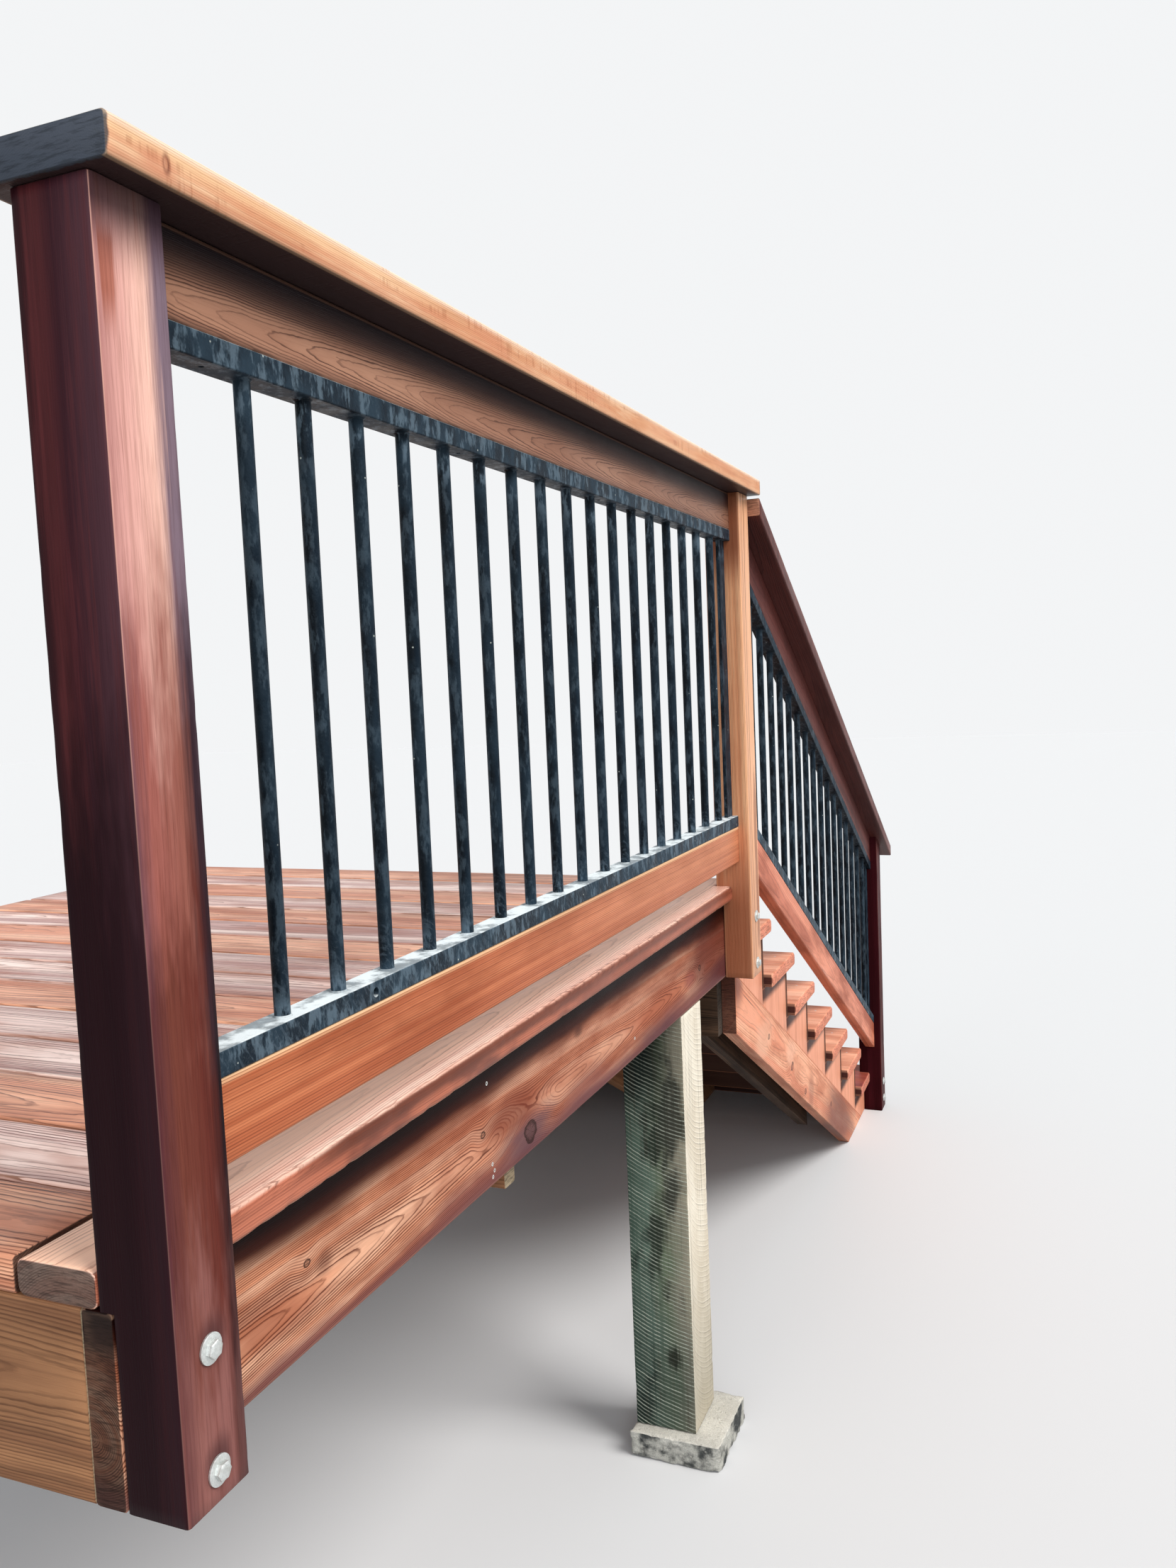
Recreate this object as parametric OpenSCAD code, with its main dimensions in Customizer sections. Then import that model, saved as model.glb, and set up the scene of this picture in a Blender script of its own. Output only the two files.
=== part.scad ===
// Wooden deck with a full-width flight of stairs and a raked guard rail.
// The origin is on the ground, under the middle of the whole.
// +Y runs along the deck's outer edge and down the stairs, and +X points outward.
// The modules lay each piece out from the deck's outer near corner, and placed() moves it.

/* [Deck] */
// Length of the deck frame, from its near end to the far face of the end header
deck_len = 2164; // [1800:1:2500]
// Width of the deck frame, from the outer face of the rim to the inner face of the ledger
deck_w = 1820; // [1500:1:2200]
// Thickness of the deck boards and of every two-inch plank
board_t = 38; // [34:1:42]
// Width of one deck board
board_w = 140; // [136:1:144]
// Number of deck boards
board_count = 15; // [12:1:15]
// Gap between the border board and the ends of the deck boards
board_gap = 4; // [3:1:8]
// How far the border board and the treads stand out past the rim
edge_over = 25; // [15:1:30]
// Height of the rim, the ledger and the headers
rim_h = 196; // [180:1:200]
// Height of a joist
joist_h = 140; // [120:1:150]
// Number of joists between the rim and the ledger
joist_count = 4; // [3:1:5]
// Height of the cross beam under the joists
beam_h = 114; // [89:1:120]
// Distance from the near end to the middle of the cross beam
beam_y = 897; // [700:1:1200]

/* [Stairs] */
// Number of risers between the deck and the ground
riser_count = 8; // [7:1:9]
// Height of one step
rise = 160.5; // [150:0.5:175]
// Depth of one step
run = 282.5; // [260:0.5:300]
// Thickness of a tread
tread_t = 40; // [36:1:45]
// Thickness of a riser board
riser_t = 20; // [16:1:22]
// How far a tread's nose stands out past the riser below it
nose_over = 8; // [5:1:25]
// Gap behind each tread
tread_gap = 4; // [2:1:6]
// Width of the raked band at the foot of the outer stringer
band_w = 140; // [130:1:150]
// Height of a step block at its back edge, above the raked band
heel_h = 45; // [35:1:60]
// Width of the open joint between two step blocks
block_joint = 1.5; // [1:0.5:3]
// Distance from the outer stringer's face to the face of the old stringer behind it
old_inset = 96; // [80:1:120]
// Length of the old stringer along the run, up to its plumb-cut lower end
old_len = 1254; // [900:1:1400]
// Number of inner stringers, the last of which stands at the inner edge
inner_count = 3; // [2:1:4]

/* [Guard rail] */
// Side of a square post
post_w = 89; // [85:1:92]
// Depth of the notch that seats a post over the rim
post_notch = 16.5; // [12:0.5:25]
// Height of the cap's top above the deck
guard_h = 1006; // [920:1:1070]
// Width of the flat cap
cap_w = 150; // [140:1:160]
// How far the cap runs past the posts
cap_over = 10; // [5:1:30]
// Height of the rails that stand on edge
rail_h = 89; // [85:1:92]
// Thickness of the rails that stand on edge
rail_t = 38; // [34:1:42]
// Clear height between the deck and the bottom rail
toe_gap = 62; // [50:1:90]
// Fall of the stair rail for each millimetre of run
rail_fall = 0.556; // [0.52:0.001:0.6]
// Drop from the cap's top to the raked cap's underside, at the middle post's far face
raked_drop = 89; // [80:1:120]
// Height of the raked bottom rail's underside above the deck, at the same place
raked_foot_z = 47; // [30:1:90]
// How far the bottom post's far face stands past the last riser
post_past = 5; // [0:1:7]
// How far the raked cap runs past the bottom post
raked_over = 96; // [60:1:140]

/* [Steel panels] */
// Height of a panel's top and bottom bars
bar_h = 27; // [22:1:30]
// Radius of the bars' eased edges
bar_r = 2; // [1:0.5:4]
// Diameter of a baluster
bal_d = 18; // [14:1:20]
// Distance between balusters in the deck panel
bal_pitch = 107.4; // [100:0.1:110]
// Distance from the near post's face to the first baluster
bal_start = 155; // [120:1:160]
// Distance along the run between balusters in the stair panel
raked_pitch = 111; // [105:1:114]
// Distance from the middle post's face to the first raked baluster
raked_start = 145; // [120:1:150]
// Width of the flat bar at each end of a panel
end_bar_w = 44; // [30:1:50]
// Thickness of that flat bar
end_bar_t = 8; // [6:1:12]
// Distance from the near post's face to the hole in the bottom bar
bar_hole_at = 312; // [250:1:360]
// Diameter of the hole in the outer face of the bottom bar
bar_hole_d = 12; // [8:1:14]
// Distance from the near post's face to the first screw hole in the top bar
screw_hole_at = 93; // [80:1:100]
// Number of balusters between two screw holes
screw_step = 5; // [4:1:6]
// Diameter of the screw holes through the top bar
screw_hole_d = 6; // [4:0.5:8]

/* [Bolts and supports] */
// Diameter of a lag bolt
bolt_d = 10; // [8:1:12]
// Diameter of a washer
washer_d = 30; // [26:1:34]
// Thickness of a washer
washer_t = 2.5; // [2:0.5:4]
// Width of a bolt head across its flats
head_af = 16; // [14:1:19]
// Height of a bolt head
head_h = 7; // [5:1:9]
// Depth of the deck posts' upper and lower bolts below the deck
bolt_drop = [82, 202];
// Height of the bottom post's bolts above the ground
foot_bolt_z = [113, 43];
// Side of a square support post
support_w = 148; // [138:1:152]
// Distance from the near end to the near face of the support posts
support_y = 1710; // [1500:1:1900]
// Height of a pier block
pier_h = 62; // [50:1:90]
// Side of a pier block
pier_w = 220; // [200:1:300]
// How far the outer pier block stands out past the rim
pier_out = 66; // [20:1:70]

/* [Finish] */
// Radius of the eased long edges of the boards
ease_r = 4; // [2:1:6]
// Radius of the rounded edges of the treads and the border board
round_r = 9; // [6:1:12]

/* [Hidden] */
$fn = 48;

// How far a cutter runs clear of what it cuts
cut = 5;

deck_z = riser_count * rise;
frame_top = deck_z - board_t;
frame_foot = frame_top - rim_h;
tread_count = riser_count - 1;
inner_x = -deck_w;
nose_y = deck_len + riser_t + nose_over;
deck_gap = (nose_y - board_count * board_w) / (board_count - 1);
board_end = edge_over - board_w - board_gap;
joist_foot = frame_top - joist_h;

rail_x = post_w / 2 - post_notch;
middle_y = deck_len - post_w;
cap_z = deck_z + guard_h - board_t;
top_rail_z = cap_z - rail_h;
foot_rail_z = deck_z + toe_gap;
panel_z = foot_rail_z + rail_h;

slope = rise / run;
band_plumb = band_w * sqrt(1 + slope * slope);
seam_z = deck_z - rise - tread_t - heel_h;
stair_foot_y = deck_len + tread_count * run;
tread_depth = run + nose_over - tread_gap;
bottom_y = stair_foot_y + riser_t + post_past - post_w;

raked_tilt = atan(rail_fall);
plumb = sqrt(1 + rail_fall * rail_fall);
raked_top_z = deck_z + guard_h - raked_drop;
raked_bottom_z = deck_z + raked_foot_z;
raked_end = bottom_y + post_w + raked_over;

bolt_z = [for (drop = bolt_drop) deck_z - drop];
bolt_reach = post_w - post_notch + board_t;

mid_x = (inner_x + rail_x + cap_w / 2) / 2;
mid_y = (raked_end - cap_over) / 2;

// Moves a piece from the deck's corner to its place about the origin
module placed() {
    translate([-mid_x, -mid_y, 0]) children();
}

// Height of the step seam at a place along the run
function seam_at(y) = seam_z - (y - deck_len) * slope;
// Height of a step's bearing, under its tread
function bearing(k) = deck_z - k * rise - tread_t;
// How many balusters stand in a panel, clear of the flat bar at its far end
function balusters(len, start, pitch) = floor((len - start - end_bar_w) / pitch) + 1;
// Place of the back edge of a step, counted from one
function step_y(k) = deck_len + (k - 1) * run;

// A square with eased corners, its low corner at the origin
module eased_square(w, h, r) {
    translate([r, 0]) square([w - 2 * r, h]);
    translate([0, r]) square([w, h - 2 * r]);
    for (x = [r, w - r], y = [r, h - r]) translate([x, y]) circle(r);
}

// A board along Y with eased long edges
module board_y(x, y, z, w, len, h, r = ease_r) {
    translate([x, y + len, z]) rotate([90, 0, 0]) linear_extrude(len) eased_square(w, h, r);
}

// A board along X with eased long edges
module board_x(x, y, z, len, w, h, r = ease_r) {
    translate([x, y, z]) rotate([90, 0, 90]) linear_extrude(len) eased_square(w, h, r);
}

// A post with eased corners
module post(x, y, z, w, h) {
    translate([x, y, z]) linear_extrude(h) eased_square(w, w, ease_r);
}

// A flat shape given by its Y and Z points, as thick as t toward -X from x
module plank(x, t, points) {
    translate([x - t, 0, 0]) rotate([90, 0, 90]) linear_extrude(t) polygon(points);
}

// The space between two plumb planes
module plumb_slice(y0, y1) {
    translate([-deck_w, y0, -deck_z]) cube([2 * deck_w, y1 - y0, 3 * deck_z + guard_h]);
}

// A raked board with eased edges, whose underside passes through z at the middle post's
// far face, cut plumb at y0 and at y1
module raked_board(x, z, w, h, y0, y1, r = ease_r) {
    reach = (y1 - y0) * plumb + 4 * h;
    intersection() {
        translate([x, deck_len, z]) rotate([-raked_tilt, 0, 0]) translate([0, -2 * h, 0])
            board_y(0, 0, 0, w, reach, h, r);
        plumb_slice(y0, y1);
    }
}

// The bores for a pair of bolts
module bolt_bores(y, heights) {
    for (z = heights)
        translate([-board_t - cut, y, z]) rotate([0, 90, 0])
            cylinder(h = bolt_reach + 2 * cut, d = bolt_d);
}

// One lag bolt through a post and the board behind it, with its washer and hex head
module bolt(y, z) {
    translate([-board_t, y, z]) rotate([0, 90, 0]) {
        cylinder(h = bolt_reach + washer_t, d = bolt_d);
        translate([0, 0, bolt_reach]) cylinder(h = washer_t, d = washer_d);
        translate([0, 0, bolt_reach + washer_t]) cylinder(h = head_h, d = head_af / cos(30), $fn = 6);
    }
}

// A guard post that is notched over a board whose top is at seat
module guard_post(y, foot, seat, top, bolts) {
    difference() {
        post(-post_notch, y, foot, post_w, top - foot);
        translate([-post_notch - cut, y - cut, foot - cut])
            cube([post_notch + cut, post_w + 2 * cut, seat - foot + cut]);
        bolt_bores(y + post_w / 2, bolts);
    }
}

// A carriage cut in steps, from the header down to the ground or to a plumb cut at stop
module carriage(x, stop) {
    last = stop < stair_foot_y ? floor((stop - deck_len) / run) + 1 : tread_count;
    steps = [for (k = [1:last], e = [0, 1]) [min(step_y(k) + e * run, stop), bearing(k)]];
    toe_y = deck_len + (seam_z - band_plumb) / slope;
    foot = stop < toe_y ? [[stop, seam_at(stop) - band_plumb]] : [[stop, 0], [toe_y, 0]];
    plank(x, board_t, concat(steps, foot, [[deck_len, seam_z - band_plumb]]));
}

// Tread k, with rounded nose and back edges, notched where a post stands in it
module tread(k) {
    color("peru") placed() difference() {
        board_x(inner_x, step_y(k) + riser_t + tread_gap, deck_z - k * rise - tread_t,
                deck_w + edge_over, tread_depth, tread_t, round_r);
        if (k == tread_count)
            translate([-post_notch, bottom_y, 0]) cube([post_w, post_w + run, deck_z]);
    }
}

module deck_boards() {
    color("peru") placed()
        for (i = [0:board_count - 1])
            board_x(inner_x, i * (board_w + deck_gap), frame_top, board_end - inner_x, board_w, board_t);
}

module border_board() {
    color("peru") placed() difference() {
        board_y(edge_over - board_w, 0, frame_top, board_w, nose_y, board_t, round_r);
        for (y = [0, middle_y])
            translate([-post_notch, y, frame_top - cut]) cube([post_w, post_w, board_t + 2 * cut]);
    }
}

module rim_board() {
    color("sienna") placed() difference() {
        board_y(-board_t, 0, frame_foot, board_t, deck_len, rim_h);
        bolt_bores(post_w / 2, bolt_z);
        bolt_bores(middle_y + post_w / 2, bolt_z);
    }
}

module near_header() {
    color("tan") placed()
        board_x(inner_x + board_t, 0, frame_foot, deck_w - 2 * board_t, board_t, rim_h);
}

module far_header() {
    color("tan") placed()
        board_x(inner_x + board_t, deck_len - board_t, frame_foot, deck_w - 2 * board_t, board_t, rim_h);
}

module ledger_board() {
    color("tan") placed()
        board_y(inner_x, 0, frame_foot, board_t, deck_len, rim_h);
}

module deck_joists() {
    bay = (deck_w - board_t) / (joist_count + 1);
    color("tan") placed()
        for (i = [1:joist_count])
            board_y(-board_t - i * bay, board_t, joist_foot, board_t, deck_len - 2 * board_t, joist_h);
}

module cross_beam() {
    color("tan") placed()
        board_x(inner_x + board_t, beam_y - board_t / 2, joist_foot - beam_h, deck_w - 2 * board_t,
                board_t, beam_h);
}

// Hangs below the far header and carries the heads of the stringers
module hanger_board() {
    foot = seam_z - band_plumb;
    color("tan") placed()
        board_x(inner_x + board_t, deck_len - board_t, foot, deck_w - 2 * board_t, board_t,
                frame_foot - foot);
}

module support_posts() {
    color("darkkhaki") placed()
        for (x = [-support_w, inner_x])
            post(x, support_y, pier_h, support_w, frame_foot - pier_h);
}

module pier_blocks() {
    y = support_y + support_w / 2 - pier_w / 2;
    color("silver") placed()
        for (x = [pier_out - pier_w, inner_x])
            translate([x, y, 0]) linear_extrude(pier_h) eased_square(pier_w, pier_w, round_r);
}

module near_post() {
    color("brown") placed()
        guard_post(0, frame_foot, frame_top, cap_z, bolt_z);
}

module middle_post() {
    color("brown") placed()
        guard_post(middle_y, frame_foot, frame_top, cap_z, bolt_z);
}

module bottom_post() {
    top = raked_top_z - (bottom_y - deck_len) * rail_fall;
    color("brown") placed() difference() {
        guard_post(bottom_y, 0, bearing(tread_count), top, foot_bolt_z);
        translate([-deck_w, deck_len, raked_top_z]) rotate([-raked_tilt, 0, 0])
            cube([2 * deck_w, 2 * deck_w, guard_h]);
    }
}

module deck_cap() {
    color("sandybrown") placed()
        board_y(rail_x - cap_w / 2, -cap_over, cap_z, cap_w, deck_len + 2 * cap_over, board_t);
}

module deck_top_rail() {
    color("peru") placed()
        board_y(rail_x - rail_t / 2, post_w, top_rail_z, rail_t, middle_y - post_w, rail_h);
}

module deck_bottom_rail() {
    color("peru") placed()
        board_y(rail_x - rail_t / 2, post_w, foot_rail_z, rail_t, middle_y - post_w, rail_h);
}

// The level steel panel between the near post and the middle post
module deck_panel() {
    x = rail_x - rail_t / 2;
    len = middle_y - post_w;
    color("darkslategray") placed() difference() {
        union() {
            for (z = [panel_z, top_rail_z - bar_h])
                board_y(x, post_w, z, rail_t, len, bar_h, bar_r);
            for (i = [0:balusters(len, bal_start, bal_pitch) - 1])
                translate([rail_x, post_w + bal_start + i * bal_pitch, panel_z + bar_h / 2])
                    cylinder(h = top_rail_z - panel_z - bar_h, d = bal_d);
            for (y = [post_w, middle_y - end_bar_w])
                translate([rail_x - end_bar_t / 2, y, panel_z])
                    cube([end_bar_t, end_bar_w, top_rail_z - panel_z]);
        }
        translate([x + rail_t - bar_hole_d, post_w + bar_hole_at, panel_z + bar_h / 2]) rotate([0, 90, 0])
            cylinder(h = rail_t, d = bar_hole_d);
        for (y = [screw_hole_at:screw_step * bal_pitch:len])
            translate([rail_x, post_w + y, top_rail_z - bar_h - cut])
                cylinder(h = bar_h + 2 * cut, d = screw_hole_d);
    }
}

module stair_cap() {
    color("sandybrown") placed()
        raked_board(rail_x - cap_w / 2, raked_top_z, cap_w, board_t, deck_len, raked_end);
}

module stair_top_rail() {
    color("peru") placed()
        raked_board(rail_x - rail_t / 2, raked_top_z - rail_h * plumb, rail_t, rail_h, deck_len, bottom_y);
}

module stair_bottom_rail() {
    color("peru") placed()
        raked_board(rail_x - rail_t / 2, raked_bottom_z, rail_t, rail_h, deck_len, bottom_y);
}

// The raked steel panel between the middle post and the bottom post
module stair_panel() {
    x = rail_x - rail_t / 2;
    foot = raked_bottom_z + rail_h * plumb;
    head = raked_top_z - (rail_h + bar_h) * plumb;
    tall = head - foot;
    len = bottom_y - deck_len;
    // Height of the middle of the lower bar at a place along the run
    function mid_z(y) = foot + bar_h / 2 - (y - deck_len) * rail_fall;
    color("darkslategray") placed() intersection() {
        union() {
            for (z = [foot, head])
                raked_board(x, z, rail_t, bar_h, deck_len, bottom_y, bar_r);
            for (i = [0:balusters(len, raked_start, raked_pitch) - 1])
                let (y = deck_len + raked_start + i * raked_pitch)
                    translate([rail_x, y, mid_z(y)]) cylinder(h = tall, d = bal_d);
            for (y = [deck_len, bottom_y - end_bar_w], far = y + end_bar_w)
                plank(rail_x + end_bar_t / 2, end_bar_t,
                      [[y, mid_z(y)], [far, mid_z(far)], [far, mid_z(far) + tall], [y, mid_z(y) + tall]]);
        }
        plumb_slice(deck_len, bottom_y);
    }
}

module stringer_band() {
    toe = deck_len + seam_z / slope;
    heel = deck_len + (seam_z - band_plumb) / slope;
    color("peru") placed()
        plank(0, board_t, [[deck_len, seam_z], [deck_len, seam_z - band_plumb], [heel, 0], [toe, 0]]);
}

// The upright-grained blocks that carry the treads, each on the band's raked seam
module step_blocks() {
    toe = deck_len + seam_z / slope;
    color("peru") placed() difference() {
        for (k = [1:tread_count]) {
            back = step_y(k) + (k == 1 ? 0 : block_joint);
            front = step_y(k + 1);
            foot = seam_at(front) < 0 ? [[toe, 0], [front, 0]] : [[front, seam_at(front)]];
            heel = [[back, bearing(k)], [back, seam_at(back)]];
            plank(0, board_t, concat(heel, foot, [[front, bearing(k)]]));
        }
        bolt_bores(bottom_y + post_w / 2, foot_bolt_z);
    }
}

// The weathered stringer behind the new one, cut short and plumb
module old_stringer() {
    color("gray") placed()
        carriage(-old_inset, deck_len + old_len);
}

module inner_stringers() {
    first = -old_inset - (deck_w - old_inset - board_t) / inner_count;
    color("tan") placed()
        for (i = [0:inner_count - 1])
            carriage(first - i * (deck_w - old_inset - board_t) / inner_count, stair_foot_y);
}

module tread_1() {
    tread(1);
}

module tread_2() {
    tread(2);
}

module tread_3() {
    tread(3);
}

module tread_4() {
    tread(4);
}

module tread_5() {
    tread(5);
}

module tread_6() {
    tread(6);
}

module tread_7() {
    tread(7);
}

module riser_boards() {
    color("peru") placed()
        for (k = [1:riser_count]) {
            top = k == 1 ? frame_top : bearing(k - 1);
            foot = k == riser_count ? 0 : bearing(k);
            translate([inner_x, step_y(k), foot]) cube([deck_w, riser_t, top - foot]);
        }
}

module post_bolts() {
    color("silver") placed() {
        for (y = [post_w / 2, middle_y + post_w / 2], z = bolt_z) bolt(y, z);
        for (z = foot_bolt_z) bolt(bottom_y + post_w / 2, z);
    }
}

deck_boards();
border_board();
rim_board();
near_header();
far_header();
ledger_board();
deck_joists();
cross_beam();
hanger_board();
support_posts();
pier_blocks();
near_post();
middle_post();
bottom_post();
deck_cap();
deck_top_rail();
deck_bottom_rail();
deck_panel();
stair_cap();
stair_top_rail();
stair_bottom_rail();
stair_panel();
stringer_band();
step_blocks();
old_stringer();
inner_stringers();
tread_1();
tread_2();
tread_3();
tread_4();
tread_5();
tread_6();
tread_7();
riser_boards();
post_bolts();
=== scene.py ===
# Wooden deck stairs: looks, light and camera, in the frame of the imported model.
# Places are in millimetres from the deck's outer near corner, with z up from the piers' feet, until a mesh
# is made. Materials work in metres, so there a height of 1.284 is the deck's.

from math import atan, cos, pi, radians, sin, sqrt
import random

import bmesh
import bpy
from mathutils import Matrix, Vector, noise


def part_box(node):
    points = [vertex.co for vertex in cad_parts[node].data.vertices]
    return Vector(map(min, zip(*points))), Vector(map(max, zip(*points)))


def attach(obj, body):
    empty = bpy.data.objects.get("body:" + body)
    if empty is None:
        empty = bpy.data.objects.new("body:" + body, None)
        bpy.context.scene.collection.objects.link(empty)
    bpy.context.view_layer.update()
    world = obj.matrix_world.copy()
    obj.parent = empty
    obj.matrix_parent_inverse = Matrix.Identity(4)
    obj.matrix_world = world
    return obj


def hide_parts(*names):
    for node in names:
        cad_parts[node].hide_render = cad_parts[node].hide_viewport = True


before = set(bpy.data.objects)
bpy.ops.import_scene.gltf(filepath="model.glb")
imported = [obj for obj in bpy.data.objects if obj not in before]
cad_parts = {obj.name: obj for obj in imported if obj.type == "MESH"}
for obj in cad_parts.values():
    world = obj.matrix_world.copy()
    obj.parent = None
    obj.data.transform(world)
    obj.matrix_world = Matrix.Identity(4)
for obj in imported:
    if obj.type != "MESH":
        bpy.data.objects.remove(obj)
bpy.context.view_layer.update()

# ---------------------------------------------------------------- sizes, as in the model

MM = 0.001
DECK_LEN = 2164
DECK_W = 1820
BOARD_T = 38
BOARD_W = 140
BOARD_COUNT = 15
BOARD_GAP = 4
EDGE_OVER = 25
RIM_H = 196
JOIST_H = 140
JOIST_COUNT = 4
BEAM_H = 114
BEAM_Y = 897
RISER_COUNT = 8
RISE = 160.5
RUN = 282.5
TREAD_T = 40
RISER_T = 20
NOSE_OVER = 8
TREAD_GAP = 4
BAND_W = 140
HEEL_H = 45
BLOCK_JOINT = 1.5
OLD_INSET = 96
OLD_LEN = 1254
INNER_COUNT = 3
POST_W = 89
POST_NOTCH = 16.5
GUARD_H = 1006
CAP_W = 150
CAP_OVER = 10
RAIL_H = 89
RAIL_T = 38
TOE_GAP = 62
RAIL_FALL = 0.556
RAKED_DROP = 89
RAKED_FOOT = 47
POST_PAST = 5
RAKED_OVER = 96
BAR_H = 27
BAL_D = 18
BAL_PITCH = 107.4
BAL_COUNT = 17
BAL_START = 155
RAKED_PITCH = 111
RAKED_COUNT = 16
RAKED_START = 145
SUPPORT_W = 148
SUPPORT_Y = 1710
PIER_H = 62
PIER_W = 220
PIER_OUT = 66
BOLT_DROP = (82, 202)
FOOT_BOLT_Z = (113, 43)
WASHER_T = 2.4
SCREW_FROM_BACK = 60
SCREW_FROM_NOSE = 45
SCREW_TO_POST = 10
SCREW_SUNK = 0.5
RIM_SCREWS = ((767, 1084), (773, 1072), (767, 1064), (761, 1212), (1406, 1091))

DECK_Z = RISER_COUNT * RISE
FRAME_TOP = DECK_Z - BOARD_T
FRAME_FOOT = FRAME_TOP - RIM_H
TREAD_COUNT = RISER_COUNT - 1
INNER_X = -DECK_W
NOSE_Y = DECK_LEN + RISER_T + NOSE_OVER
DECK_GAP = (NOSE_Y - BOARD_COUNT * BOARD_W) / (BOARD_COUNT - 1)
BOARD_END = EDGE_OVER - BOARD_W - BOARD_GAP
JOIST_FOOT = FRAME_TOP - JOIST_H
RAIL_X = POST_W / 2 - POST_NOTCH
MIDDLE_Y = DECK_LEN - POST_W
CAP_Z = DECK_Z + GUARD_H - BOARD_T
TOP_RAIL_Z = CAP_Z - RAIL_H
FOOT_RAIL_Z = DECK_Z + TOE_GAP
PANEL_Z = FOOT_RAIL_Z + RAIL_H
SLOPE = RISE / RUN
BAND_PLUMB = BAND_W * sqrt(1 + SLOPE * SLOPE)
SEAM_Z = DECK_Z - RISE - TREAD_T - HEEL_H
STAIR_FOOT_Y = DECK_LEN + TREAD_COUNT * RUN
TREAD_DEPTH = RUN + NOSE_OVER - TREAD_GAP
BOTTOM_Y = STAIR_FOOT_Y + RISER_T + POST_PAST - POST_W
PLUMB = sqrt(1 + RAIL_FALL * RAIL_FALL)
RAKED_TOP_Z = DECK_Z + GUARD_H - RAKED_DROP
RAKED_BOTTOM_Z = DECK_Z + RAKED_FOOT
RAKED_END = BOTTOM_Y + POST_W + RAKED_OVER
BAND_HEEL_Y = DECK_LEN + (SEAM_Z - BAND_PLUMB) / SLOPE
BAND_TOE_Y = DECK_LEN + SEAM_Z / SLOPE
INNER_BAY = (DECK_W - OLD_INSET - BOARD_T) / INNER_COUNT

rim_low, rim_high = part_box("rim_board")
CORNER = Vector((rim_high.x, rim_low.y, 0))


def tint(code):
    """A colour from its six hexadecimal digits."""
    parts = [int(code[i:i + 2], 16) / 255 for i in (0, 2, 4)]
    return tuple(p / 12.92 if p <= 0.04045 else ((p + 0.055) / 1.055) ** 2.4 for p in parts) + (1.0,)


# ---------------------------------------------------------------- finishes


class Tree:
    """A node tree, with short ways to add its nodes. A value may be a number, a tuple or a socket."""

    def __init__(self, tree):
        self.tree = tree

    def feed(self, socket, value):
        if isinstance(value, bpy.types.NodeSocket):
            self.tree.links.new(value, socket)
        else:
            socket.default_value = value

    def node(self, kind, inputs=None, **settings):
        made = self.tree.nodes.new(kind)
        for key, value in settings.items():
            setattr(made, key, value)
        for key, value in (inputs or {}).items():
            self.feed(made.inputs[key], value)
        return made

    def calc(self, operation, *values):
        return self.node("ShaderNodeMath", dict(enumerate(values)), operation=operation).outputs[0]

    def plus(self, a, b):
        return self.calc("ADD", a, b)

    def minus(self, a, b):
        return self.calc("SUBTRACT", a, b)

    def times(self, first, *others):
        for other in others:
            first = self.calc("MULTIPLY", first, other)
        return first

    def shown_plainly(self):
        """1 for the rays that see a backdrop as it is: from the camera, off gloss and through glass."""
        rays = self.node("ShaderNodeLightPath").outputs
        straight = self.calc("MAXIMUM", rays["Is Camera Ray"], rays["Is Glossy Ray"])
        return self.calc("MAXIMUM", straight, rays["Is Transmission Ray"])


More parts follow.
